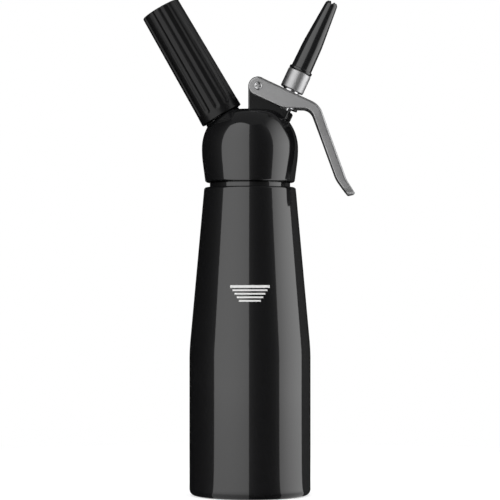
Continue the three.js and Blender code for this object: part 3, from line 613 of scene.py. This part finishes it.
def quads(rows, columns, closed=False):
    """The faces of a grid of points, given row by row, which may close on itself both ways."""
    faces = []
    for k in range(rows if closed else rows - 1):
        for i in range(columns if closed else columns - 1):
            here, ahead = k * columns, (k + 1) % rows * columns
            beside = (i + 1) % columns
            faces.append([here + i, here + beside, ahead + beside, ahead + i])
    return faces


def fillet_band(outline, wall_top, radius):
    """A closed band that carries the wall over an outline into the dome with a hollow round."""
    points, count = [], len(outline)
    for k, point in enumerate(outline):
        ahead = outline[(k + 1) % count] - outline[k - 1]
        out = Vector((ahead.y, -ahead.x)).normalized()
        size = max(min(radius, fillet_share * (wall_top(point.x) - dome_height(*point))), fillet_sink)
        points.append((*(point - out * fillet_root), dome_height(*point) - fillet_root))
        for turn in [radians(90) * i / fillet_steps for i in range(fillet_steps + 1)]:
            place = point + out * size * (1 - sin(turn))
            points.append((*place, dome_height(*place) + size * (1 - cos(turn)) - fillet_sink))
        points.append((*(point - out * fillet_root), points[-1][2]))
    return from_faces("fillet", points, quads(count, len(points) // count, closed=True))


for cutter in (
    room,
    rod("skirt_room", skirt_bore, skirt_edge - past, gasket_seat),
    rod("spigot_room", spigot_bore, inlet_floor, spigot_top + past, charger_side),
    rod("inlet", inlet_bore, -inlet_boss_depth - past, inlet_floor + past, charger_side),
    rod("sleeve_room", sleeve_room_radius, -dome_widest, -inlet_boss_depth, charger_side),
    rod("stem_guide", stem_bore, valve_ledge - past, valve_boss_top + past, valve_side),
    rod("valve_chamber", valve_chamber_radius, valve_root_end - past, valve_ledge, valve_side),
    rod("pivot_bore", pivot_hole, -side_half, side_half, Matrix.Translation(pivot) @ upright_turn),
):
    cut_with(head, cutter)
head = joined("head_dressed", head, fillet_band(tower_plan, tower_top, tower_fillet))
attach(settled(head, lacquer), "head")
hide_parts("head")

# Charger holder
# A moulded half-matt cap with draft, screwed down over the charger. Twelve round-bottomed flutes give
# grip: each starts in a round end above the plain collar and runs out through the flat top.

holder_length = 77.18
holder_foot_radius = 13.8
holder_top_radius = 12.75
holder_foot_edge = 0.5
holder_top_edge = 1.0
holder_thread_bore = 10.2
holder_bore = 9.3
holder_inner_end = 73.8
holder_inner_round = 6
flute_count = 12
flute_cutter = 2.4
flute_depth = 0.9
flute_start = 6.5
flute_softness = 0.08
flute_columns = 24
holder_rows = 90

matte_plastic = finish(
    "matte_plastic", colour=(0.0025, 0.0025, 0.0028), worn=(0.004, 0.004, 0.0043), gloss=(0.28, 0.36),
    grain=0.35, relief=0.008, lean=charger_side, IOR=1.5, Specular_IOR_Level=0.31,
)
flute_tree, given, add = node_tree("cut_flutes", [
    "Flutes", "Cutter", "Depth", "Start", "Softness", "Foot radius", "Draft", "Inner limit",
])


def squared(value):
    """The square of a value in a tree."""
    return times(value, value)


wall_x, wall_y, wall_z = add("ShaderNodeSeparateXYZ", add("GeometryNodeInputPosition")).outputs
out = calc("SQRT", plus(squared(wall_x), squared(wall_y)))
half_pitch = times(over(2 * pi, given["Flutes"]), 1 / 2)
off_middle = calc("WRAP", calc("ARCTAN2", wall_y, wall_x), half_pitch, times(half_pitch, -1.0))
wall_radius = minus(given["Foot radius"], times(wall_z, given["Draft"]))
beside_flute = times(wall_radius, calc("SINE", off_middle))
below_start = calc("MINIMUM", minus(wall_z, given["Start"]), 0.0)
room_left = minus(squared(given["Cutter"]), plus(squared(beside_flute), squared(below_start)))
sunk = minus(calc("SQRT", calc("MAXIMUM", room_left, 0.0)), minus(given["Cutter"], given["Depth"]))
eased = calc("SQRT", plus(squared(sunk), squared(given["Softness"])))
floor_radius = minus(wall_radius, times(plus(sunk, eased), 1 / 2))
drawn_in = over(calc("MINIMUM", out, floor_radius), calc("MAXIMUM", out, given["Softness"]))
is_outside = add("FunctionNodeCompare", operation="GREATER_THAN", data_type="FLOAT")
feed(is_outside.inputs["A"], out)
feed(is_outside.inputs["B"], given["Inner limit"])
moved = add("ShaderNodeCombineXYZ", times(wall_x, drawn_in), times(wall_y, drawn_in), wall_z)
fluted = add("GeometryNodeSetPosition", given["Geometry"], is_outside, moved)
close_tree(flute_tree, fluted, given["Material"])

holder_outside = rounded([
    (holder_thread_bore, 0),
    (holder_foot_radius, 0, holder_foot_edge),
    (holder_top_radius, holder_length, holder_top_edge),
    (0, holder_length),
])
low_side, high_side = holder_outside[round_steps + 1], holder_outside[round_steps + 2]
fine_side = [low_side.lerp(high_side, k / holder_rows) for k in range(1, holder_rows)]
holder_inside = rounded([
    (0, holder_inner_end),
    (holder_bore, holder_inner_end, holder_inner_round),
    (holder_bore, holder_thread_depth),
    (holder_thread_bore, holder_thread_depth),
])
foot_part, top_part = holder_outside[:round_steps + 2], holder_outside[round_steps + 2:]
holder_profile = [*holder_inside, *foot_part, *fine_side, *top_part]
holder = turned("charger_holder_dressed", holder_profile, flute_count * flute_columns)
grown(
    holder, flute_tree, matte_plastic, Flutes=flute_count, Cutter=flute_cutter, Depth=flute_depth,
    Start=flute_start, Softness=flute_softness, Foot_radius=holder_foot_radius,
    Draft=(holder_foot_radius - holder_top_radius) / holder_length,
    Inner_limit=holder_thread_bore + holder_foot_edge,
)
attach(settled(holder, lean=charger_side), "holder")
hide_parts("charger_holder")

# Valve stem
# A polished hollow stem with a round flange that the lever's pads press on. Two ring grooves, the ports
# and the piston below them stay inside the valve boss.

stem_radius = 5.2
stem_hollow = 2.6
hollow_overrun = 0.5
stem_edge = 0.3
flange_radius = 8.8
flange_top = -10.3
flange_thickness = 1.1
ring_groove_floor = 3.95
ring_groove_half = 0.95
ring_centres = (-16.0, -18.8)
port_neck_radius = 4.2
seal_neck_radius = 3.6
piston_radius = 6.8
piston_top = -23.9
piston_low = -24.9
spring_rod_radius = 3
spring_rod_end = -36.9

polished_steel = finish(
    "polished_steel", colour=(0.6, 0.6, 0.61), worn=(0.66, 0.66, 0.67), gloss=(0.1, 0.18), grain=0.3,
    relief=0.003, lean=valve_side, stretch=(1, 1, 6), Metallic=1.0,
)
grooves = [
    (radius, centre + side)
    for centre in ring_centres
    for radius, side in (
        (stem_radius, ring_groove_half), (ring_groove_floor, ring_groove_half),
        (ring_groove_floor, -ring_groove_half), (stem_radius, -ring_groove_half),
    )
]
stem_profile = rounded([
    (stem_hollow, stem_top),
    (stem_radius, stem_top, stem_edge),
    (stem_radius, flange_top),
    (flange_radius, flange_top, stem_edge),
    (flange_radius, flange_top - flange_thickness, stem_edge),
    (stem_radius, flange_top - flange_thickness),
    *grooves,
    (stem_radius, valve_ledge + port_neck_length),
    (port_neck_radius, valve_ledge + port_neck_length),
    (port_neck_radius, valve_ledge),
    (seal_neck_radius, valve_ledge),
    (seal_neck_radius, piston_top),
    (piston_radius, piston_top),
    (piston_radius, piston_low),
    (spring_rod_radius, piston_low),
    (spring_rod_radius, spring_rod_end),
    (0, spring_rod_end),
    (0, valve_ledge - hollow_overrun),
    (stem_hollow, valve_ledge - hollow_overrun),
])
stem = turned("valve_stem_dressed", stem_profile)
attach(settled(stem, polished_steel, valve_side), "stem")
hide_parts("valve_stem")

# Nozzle adapter
# A turned steel sleeve nut, screwed on the stem above the lever's fork, with fine tool marks round it
# and small chamfers. The nozzle screws into its upper end.

adapter_bore = 5.6
adapter_radius = 7.6
adapter_length = 12.4
adapter_chamfer = 0.4
chamfer_break = 0.08

turned_steel = finish(
    "turned_steel", colour=(0.42, 0.42, 0.425), worn=(0.48, 0.48, 0.485), gloss=(0.38, 0.46), grain=0.25,
    relief=0.006, lean=valve_side, stretch=(0.12, 0.12, 1), Metallic=1.0,
)
adapter_profile = rounded([
    (adapter_bore, 0),
    (adapter_radius - adapter_chamfer, 0, chamfer_break),
    (adapter_radius, adapter_chamfer, chamfer_break),
    (adapter_radius, adapter_length - adapter_chamfer, chamfer_break),
    (adapter_radius - adapter_chamfer, adapter_length, chamfer_break),
    (adapter_bore, adapter_length),
], steps=round_steps // 3)
adapter = turned("nozzle_adapter_dressed", adapter_profile)
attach(settled(adapter, turned_steel, valve_side), "stem")
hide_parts("nozzle_adapter")

# Nozzle
# A polished black moulding with a flat rim that seats on the adapter, a slow taper and a rounded tip,
# where six notches shape the cream. Its threaded spigot sits inside the adapter.

nozzle_spigot_low = 7.3
nozzle_spigot_radius = 5.2
nozzle_rim_low = 12.7
nozzle_rim_high = 14.5
nozzle_rim_radius = 7.5
nozzle_rim_round = 0.5
nozzle_root_radius = 6.65
nozzle_waist = (6.31, 31.5)
nozzle_waist_round = 100
nozzle_tip_radius = 3.77
nozzle_tip = 61.5
nozzle_tip_round = 3.2
nozzle_bore = 3.2
nozzle_tip_bore = 1.8
notch_pairs = 3
notch_depth = 2.4
notch_half_width = 1.5
tip_steps = 28
bore_steps = 24

gloss_plastic = finish(
    "gloss_plastic", colour=(0.006, 0.006, 0.007), worn=(0.009, 0.009, 0.01), gloss=(0.1, 0.16), grain=1.2,
    relief=0.004, lean=valve_side, IOR=1.5, Specular_IOR_Level=0.8,
)
side_profile = rounded([
    (0, nozzle_spigot_low),
    (nozzle_spigot_radius, nozzle_spigot_low),
    (nozzle_spigot_radius, nozzle_rim_low),
    (nozzle_rim_radius, nozzle_rim_low, nozzle_rim_round),
    (nozzle_rim_radius, nozzle_rim_high, nozzle_rim_round),
    (nozzle_root_radius, nozzle_rim_high),
    (*nozzle_waist, nozzle_waist_round),
    (nozzle_tip_radius, nozzle_tip, nozzle_tip_round),
    (0, nozzle_tip),
], steps=tip_steps)[1:-1]
bore_side = [
    Vector((nozzle_tip_bore + (nozzle_bore - nozzle_tip_bore) * share ** 2,
            nozzle_tip + (nozzle_waist[1] - nozzle_tip) * share ** 2))
    for share in (k / bore_steps for k in range(bore_steps + 1))
]
lip = [side_profile[-1].lerp(bore_side[0], k / round_steps) for k in range(1, round_steps)]
nozzle_profile = [*side_profile, *lip, *bore_side, Vector((nozzle_bore, nozzle_spigot_low))]
nozzle = turned("nozzle_dressed", nozzle_profile)
for vertex in nozzle.data.vertices:
    for k in range(notch_pairs):
        notch_turn = pi * k / notch_pairs
        off_notch = abs(vertex.co.x * cos(notch_turn) + vertex.co.y * sin(notch_turn))
        notch_floor = nozzle_tip - notch_depth * (1 - off_notch / notch_half_width)
        vertex.co.z = min(vertex.co.z, max(notch_floor, nozzle_tip - notch_depth))
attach(settled(nozzle, gloss_plastic, valve_side), "nozzle")
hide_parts("nozzle")

# Lever
# A satin aluminium casting: two cheeks on the pivot, an open fork round the stem whose rounded pads
# press on its flange, a round bend, and a handle that hangs beside the bottle and flares at its tip.

pivot_arm = 19.97
pivot_drop = 7.33
bar_half = 5.75
lever_half_width = 11.8
fork_half_width = 9.2
heel_corner = 2.6
bar_end = 39.75
bend_round = 12.5
inner_bend_round = 7
throat_round = 14
throat_drop = 13.9
handle_lean = radians(20)
handle_thickness = 5.8
handle_length = 50.3
flare_lead = 3
flare_lean = radians(33)
flare_length = 10.04
flare_bend_round = 18
tip_thickness = 4.3
tip_bevel = 1.5
tip_round = 0.8
handle_half_width = 9
handle_tip_half_width = 9.8
handle_tip_round = 5
cheek_taper_start = 17.5
cheek_taper_end = 30.1
cheek_taper_round = 24
fork_end_gap = 0.9
pocket_rise = 1.1
pad_radius = 4
pad_gap = 0.3
pad_root = 0.5
prong_gap = 1.4
lever_round = 1.5
lever_low_round = 0.6
from_below = (-1.0, 1.25)
lever_edge = 0.3
edge_steps = 4
edge_angle = radians(40)
edge_middle = 0.5
evening_weight = 100

satin_metal = finish(
    "satin_metal", colour=(0.385, 0.385, 0.388), worn=(0.44, 0.44, 0.443), gloss=(0.36, 0.44), grain=0.18,
    relief=0.006, lean=valve_side, stretch=(0.35, 1, 1), Metallic=1.0,
)
bar = valve_side @ Matrix.Translation((-pivot_arm, 0, -pivot_drop))


def on_bar(across, up):
    """A place in the side view that lies across and up in the bar's leaning frame."""
    place = bar @ Vector((across, 0, up))
    return Vector((place.x, place.z))


def downwards(lean):
    """The direction down a part of the handle that leans outwards."""
    return Vector((sin(lean), -cos(lean)))


def inside(point, direction, distance):
    """A point set off to the lever's inner side."""
    return point + Vector((direction.y, -direction.x)) * distance


def block(name, low, high, half, bottom, top, lean=Matrix()):
    """A plain cutter with square corners."""
    return prism(name, oblong(low, high, half), bottom, top, lean)


bend = on_bar(bar_end, bar_half)
down_handle, down_flare = downwards(handle_lean), downwards(flare_lean)
outer_flare = bend + down_handle * handle_length
outer_tip = outer_flare + down_flare * flare_length
inner_tip = inside(outer_tip, down_flare, tip_thickness) - down_flare * tip_bevel
inner_flare = inside(outer_flare, down_handle, handle_thickness) - down_handle * flare_lead
throat = pivot.z - throat_drop
heel_turn = degrees(atan2(bar_half, -heel_corner) + acos(bar_half / hypot(bar_half, heel_corner)))
heel = arc(0, 0, bar_half, heel_turn, 270, 2 * round_steps)
lever_outline = rounded([
    on_bar(-heel_corner, bar_half),
    *(on_bar(*point) for point in heel),
    (*on_bar(pivot_arm, -bar_half), throat_round),
    (inner_flare.x - (throat - inner_flare.y) * tan(handle_lean), throat, inner_bend_round),
    (*inner_flare, flare_bend_round),
    (*inner_tip, tip_round),
    (*outer_tip, tip_round),
    (*outer_flare, flare_bend_round),
    (*bend, bend_round),
], closed=True)
lowest = min(point[1] for point in lever_outline)
lever_top = pivot.z + bar_half + past
half_front = [
    (lever_half_width, lever_top),
    (lever_half_width, pivot.z - cheek_taper_start, cheek_taper_round),
    (handle_half_width, pivot.z - cheek_taper_end, cheek_taper_round),
    (handle_half_width, lowest + flare_length, cheek_taper_round),
    (handle_tip_half_width, lowest, handle_tip_round),
]
other_half = [(-corner[0], *corner[1:]) for corner in reversed(half_front)]
front_outline = rounded([*half_front, *other_half], closed=True)
sideways_turn = Matrix(((0, 0, 1, 0), (1, 0, 0, 0), (0, 1, 0, 0), (0, 0, 0, 1)))

lever_reach = lever_half_width + past
lever = prism("lever_dressed", lever_outline, -lever_reach, lever_reach, upright_turn)
front_low, front_high = pivot.x - bar_half - past, pivot.x + 2 * bar_end
cut_with(lever, prism("front", front_outline, front_low, front_high, sideways_turn), "INTERSECT")
slot_end = pivot.x + tower_reach + prong_gap
ceiling, fork_end = flange_top + pocket_rise, flange_radius + fork_end_gap
stem_slot_end = stem_radius + fork_end_gap
pad_height = flange_top + pad_gap + pad_radius
pad_place = valve_side @ Matrix.Translation((0, 0, pad_height)) @ upright_turn
pad_reach = fork_half_width + pad_root
pivot_across = Matrix.Translation(pivot) @ upright_turn
tower_slot = block("tower_slot", front_low, slot_end, fork_half_width, pivot.z - bar_end, pivot.z + bar_end)
pocket = block("pocket", -pivot_arm, fork_end, fork_half_width, ceiling - pivot_arm, ceiling, valve_side)
pads = rod("pads", pad_radius, -pad_reach, pad_reach, pad_place)
stem_slot = block("stem_slot", -pivot_arm, stem_slot_end, stem_bore, -pivot_arm, pivot_arm, valve_side)
cross_hole = rod("pivot_hole", pivot_hole, -lever_reach, lever_reach, pivot_across)
cut_with(cut_with(lever, tower_slot), pocket)
cut_with(lever, pads, "UNION")
cut_with(cut_with(lever, stem_slot), cross_hole)


def between(value, low, high):
    """How far a value lies from the low one to the high one, held to that run."""
    return min(max((value - low) / (high - low), 0.0), 1.0)


def softened(piece):
    """Rounds the sharp edges: wide above and outside, less below, narrow at slots, hole and tip."""
    form = bmesh.new()
    form.from_mesh(piece.data)
    weight = form.edges.layers.float.new("bevel_weight_edge")
    for edge in form.edges:
        if edge.calc_face_angle(0.0) > edge_angle:
            place = edge.verts[0].co.lerp(edge.verts[1].co, edge_middle)
            outer = abs(place.y) > fork_half_width + pad_root or place.z < throat
            hole = hypot(place.x - pivot.x, place.z - pivot.z) < pad_radius
            across = min(edge.link_faces, key=lambda face: abs(face.normal.y)).normal
            upward = between(across.x + across.z, *from_below)
            width = lever_low_round + (lever_round - lever_low_round) * upward
            width = lever_edge + (width - lever_edge) * between(place.z, lowest, lowest + flare_length)
            edge[weight] = (width if outer and not hole else lever_edge) / lever_round
    form.to_mesh(piece.data)
    form.free()
    bevel = piece.modifiers.new("edges", "BEVEL")
    bevel.width = lever_round
    bevel.segments = edge_steps
    bevel.limit_method = "WEIGHT"
    bevel.loop_slide = False
    bevel.use_clamp_overlap = False
    return baked(piece)


def evened(piece):
    """Turns the shading of a cast piece towards its large faces, so that flat ones look flat."""
    evening = piece.modifiers.new("evening", "WEIGHTED_NORMAL")
    evening.keep_sharp = True
    evening.weight = evening_weight
    return baked(piece)


softened(lever)
for vertex in lever.data.vertices:
    vertex.co.y = min(max(vertex.co.y, -lever_half_width), lever_half_width)
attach(evened(settled(lever, satin_metal)), "lever")
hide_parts("lever")

# Pivot screw and sleeve nut
# A low domed screw with a cross recess at the front, driven into a sleeve nut whose plain domed head
# is at the back. The lever turns on the sleeve.

screw_head_radius = 2.55
screw_radius = 1.2
screw_length = 12
nut_head_radius = 3.4
nut_radius = 2
nut_inset = 0.4
nut_end_wall = 1.5
nut_bore = 1.5
head_gap = 0.3
head_rim = 0.4
head_crown = 1.1
recess_reach = 1.9
recess_half = 0.55
recess_depth = 1.4
recess_turn = radians(20)

bright_steel = finish(
    "bright_steel", colour=(0.46, 0.46, 0.465), worn=(0.54, 0.54, 0.545), gloss=(0.16, 0.24), grain=0.2,
    relief=0.003, Metallic=1.0,
)


def domed(radius, *shank):
    """A profile that runs from the crown of a low round head down to its shank."""
    crown = arc(0, 0, 1, 90, 0, 2 * round_steps)
    crown[0].x = 0
    return [*((radius * point.x, head_rim + head_crown * point.y) for point in crown), *shank]


def facing(turn):
    """The pivot's frame with +Z looking out of the lever's front or back."""
    out = Matrix.Rotation(radians(turn), 4, "X")
    return Matrix.Translation(pivot) @ out @ Matrix.Translation((0, 0, lever_half_width + head_gap))


screw = turned("pivot_screw_dressed", domed(
    screw_head_radius, (screw_head_radius, 0), (screw_radius, 0), (screw_radius, -screw_length),
    (0, -screw_length),
))
crown_top = head_rim + head_crown
recess_floor = crown_top - recess_depth
for angle in (recess_turn, recess_turn + pi / 2):
    turn = Matrix.Rotation(angle, 4, "Z")
    arm = block("recess", -recess_reach, recess_reach, recess_half, recess_floor, crown_top + past, turn)
    cut_with(screw, arm)
nut_reach = 2 * lever_half_width + head_gap - nut_inset
nut = turned("pivot_nut_dressed", domed(
    nut_head_radius, (nut_head_radius, 0), (nut_radius, 0), (nut_radius, -nut_reach), (nut_bore, -nut_reach),
    (nut_bore, -head_gap - nut_end_wall), (0, -head_gap - nut_end_wall),
))
for fastener, way, node in ((screw, 90, "pivot_screw"), (nut, -90, "pivot_barrel")):
    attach(settled(fastener, bright_steel, facing(way)), "head")
    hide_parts(node)

# Inner pieces
# What the head and the holder keep out of sight: the charger and its cap, the seals, the piercing valve
# with its needle and sleeve, the valve's retainer and its spring, which gets a mesh of its own, and the
# nozzle's ring.

charger_steel = finish(
    "charger_steel", colour=(0.45, 0.45, 0.47), worn=(0.55, 0.55, 0.57), gloss=(0.2, 0.32), grain=0.5,
    relief=0.004, lean=charger_side, stretch=(1, 1, 0.2), Metallic=1.0,
)
brass = finish(
    "brass", colour=(0.5, 0.36, 0.14), worn=(0.6, 0.44, 0.18), gloss=(0.25, 0.4), grain=0.3, relief=0.004,
    stretch=(1, 1, 4), Metallic=1.0,
)
silicone = finish(
    "clear_silicone", colour=(0.6, 0.6, 0.58), worn=(0.72, 0.72, 0.7), gloss=(0.4, 0.55), grain=0.6,
    relief=0.006,
)
rubber = finish(
    "black_rubber", colour=(0.015, 0.015, 0.015), worn=(0.024, 0.024, 0.024), gloss=(0.55, 0.75), grain=0.4,
    relief=0.008,
)
inner_finishes = {
    charger_steel: ("gas_charger", "charger_cap"),
    brass: ("piercing_valve_body", "valve_retainer"),
    bright_steel: ("piercing_needle", "valve_spring"),
    silicone: ("head_gasket", "check_valve_sleeve", "valve_seal"),
    rubber: ("charger_seal", "stem_ring_upper", "stem_ring_lower", "nozzle_seal_ring"),
}
for material, names in inner_finishes.items():
    for name in names:
        frame["nodes"][name].material_slots[0].material = material
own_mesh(frame["nodes"]["valve_spring"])

# Studio
# A pale floor under a white background. Round the object stand the soft lights and the dark cards that a
# photographer sets round glossy black, under a dim ceiling, and a level camera looks in from afar.

camera_distance = 1.43
camera_height = 0.135
view_width = 0.314
view_middle = 0.1539
sensor = 36
left_end, left_edge, gap_start = -91.5, -35.3, -1.0
gap_end, right_edge, right_end = 28.2, 57.0, 91.5
card_start = 0.0335
card_lift = 0.0006
card_columns = 24
droop_bend = 4
light_distance = 1.0
dark_distance = 1.3
ceiling_height = 2.45
ceiling_reach = 1.6
ceiling_glow = 0.165
# Painted shade: each card's floor strip glows at a quarter of its level at the bottle's foot and at 0.85 of
# it a little further out, standing in for the shade round the foot.
foot_shade = 0.25
foot_shade_reach = 0.035
near_foot_shade = 0.85
soft_top = ((0, 1), (0.35, 1), (0.7, 0.82), (1.0, 0.6), (1.4, 0.35), (1.9, 0.12), (ceiling_height, 0.08))
square_top = ((0, 1), (2.35, 1), (2.37, 0.1), (ceiling_height, 0.1))
no_top = ((0, 1), (ceiling_height, 1))
floor_reach = 4
floor_white = (0.8, 0.8, 0.8)
floor_far_black = (0, 0, 0)
floor_roughness = 0.9
shade_reach = (0.12, 0.45)
shade_level = 0.55
fill_level = 0.3

glow_of_cards, card_tree = with_nodes(bpy.data.materials.new("glow_of_cards"))
card_tree.nodes.remove(card_tree.nodes["Principled BSDF"])
card_level = step(card_tree, "ShaderNodeAttribute", attribute_name="glow").outputs["Fac"]
card_light = step(card_tree, "ShaderNodeEmission", None, card_level)
feed(card_tree.nodes["Material Output"].inputs["Surface"], card_light)


def seen_in_gloss(name, points, faces, glows):
    """A stage card with a glow of its own at each corner, seen in reflections alone."""
    made = from_faces(name, points, faces)
    made.data.materials.append(glow_of_cards)
    made.data.attributes.new("glow", "FLOAT", "POINT").data.foreach_set("value", glows)
    for ray in ("camera", "diffuse", "transmission", "volume_scatter", "shadow"):
        setattr(made, f"visible_{ray}", False)
    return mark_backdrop(made)


def mirrored(turn):
    """The direction in which a place round the bottle mirrors the camera's view."""
    aside = bottle_radius * mm * sin(turn)
    return 2 * turn + atan2(aside, camera_distance - bottle_radius * mm * cos(turn))


def graded(levels, share):
    """A smooth run through three levels, at the start, in the middle and at the end."""
    start, middle, end = (log(level) for level in levels)
    first = start * (1 - share) * (1 - 2 * share)
    second = 4 * middle * share * (1 - share)
    return exp(first + second + end * share * (2 * share - 1))


def card(name, first, last, glows, distance, top, flat=False, droop=0.0):
    """A light or dark card, floor strip included, that the bottle mirrors between two places on its side. The
    floor strip is painted darker towards the bottle's foot, as shade.
    """
    points, levels = [], []
    heart = mirrored(radians(first + last) / 2)
    for k in range(card_columns + 1):
        share = k / card_columns
        turn = radians(first + (last - first) * share)
        way = mirrored(turn)
        reach = distance / cos(way - heart) if flat else distance
        foot = Vector((sin(turn), -cos(turn))) * card_start
        base = foot + Vector((sin(way), -cos(way))) * reach
        glow = graded(glows, share)
        # Painted shade: the strip's two rows nearest the foot glow less.
        for place, part in ((foot, foot_shade), (foot.lerp(base, foot_shade_reach / reach), near_foot_shade)):
            points.append((*place, card_lift))
            levels.append(glow * part)
        for height, part in top:
            lowered = height * (1 - droop * (1 - share) ** droop_bend) if height < ceiling_height else height
            points.append((*base, max(lowered, card_lift)))
            levels.append(glow * part)
    return seen_in_gloss(name, points, quads(card_columns + 1, len(top) + 2), levels)


def square(reach, height):
    """The corners of a level square about the bottle's axis."""
    return [(x * reach, y * reach, height) for x, y in ((-1, -1), (1, -1), (1, 1), (-1, 1))]


card("left_back", left_end, left_edge, (0.005, 0.019, 0.22), dark_distance, no_top)
card("left_light", left_edge, gap_start, (1.45, 1.58, 1.33), light_distance, square_top, flat=True, droop=0.3)
card("dark_gap", gap_start, gap_end, (0.26, 0.075, 0.28), dark_distance, no_top)
card("right_light", gap_end, right_edge, (1.4, 2.08, 1.75), light_distance, soft_top, flat=True)
card("right_back", right_edge, right_end, (0.15, 0.055, 0.004), dark_distance, no_top)
seen_in_gloss("ceiling", square(ceiling_reach, ceiling_height), [[0, 1, 2, 3]], [ceiling_glow] * 4)


def seen_white(tree):
    """One where a ray comes from the camera, a gloss or a clear body."""
    path = step(tree, "ShaderNodeLightPath").outputs
    total = path["Is Camera Ray"]
    for other in ("Is Glossy Ray", "Is Transmission Ray"):
        total = step(tree, "ShaderNodeMath", total, path[other], operation="ADD", use_clamp=True)
    return total


floor = from_faces("floor", square(floor_reach, 0), [[0, 1, 2, 3]])
pale_floor, floor_tree = with_nodes(bpy.data.materials.new("pale_floor"))
floor_spot = step(floor_tree, "ShaderNodeTexCoord").outputs["Object"]
distance_out = step(floor_tree, "ShaderNodeVectorMath", floor_spot, operation="LENGTH").outputs["Value"]
fade = step(floor_tree, "ShaderNodeMapRange", distance_out, *shade_reach)
floor_level = step(floor_tree, "ShaderNodeMapRange", fade, None, None, shade_level)
for socket, source in (
    ("Base Color", ramp(floor_tree, fade, floor_white, floor_far_black)),
    ("Roughness", floor_roughness),
    ("Specular IOR Level", 0.0),
    ("Emission Color", (1, 1, 1, 1)),
    ("Emission Strength", times(floor_level, seen_white(floor_tree))),
):
    feed(floor_tree.nodes["Principled BSDF"].inputs[socket], source)
floor.data.materials.append(pale_floor)

world, sky_tree = with_nodes(bpy.data.worlds.new("studio"))
bpy.context.scene.world = world
fill = step(sky_tree, "ShaderNodeMapRange", seen_white(sky_tree), None, None, fill_level)
feed(sky_tree.nodes["Background"].inputs["Color"], (1, 1, 1, 1))
feed(sky_tree.nodes["Background"].inputs["Strength"], fill)

for name, place, lamp_size, power in (
    ("left_lamp", (-1.0, -0.8, 0.7), 0.8, 9),
    ("right_lamp", (1.1, -0.5, 0.7), 0.8, 8),
    ("top_lamp", (0.0, -0.1, 1.5), 1.0, 8),
):
    light = bpy.data.lights.new(name, "AREA")
    light.size = lamp_size
    light.energy = power
    lamp = placed(name, light)
    aim = Vector((0, 0, view_middle)) - Vector(place)
    lamp.matrix_world = Matrix.Translation(place) @ aim.to_track_quat("-Z", "Y").to_matrix().to_4x4()
    lamp.visible_glossy = False

lens = bpy.data.cameras.new("camera")
lens.sensor_width = sensor
lens.lens = sensor * camera_distance / view_width
lens.shift_y = (view_middle - camera_height) / view_width
camera = placed("camera", lens)
camera.location = (0, -camera_distance, camera_height)
camera.rotation_euler = (radians(90), 0, 0)
bpy.context.scene.camera = camera
bpy.context.scene.view_settings.view_transform = "Standard"
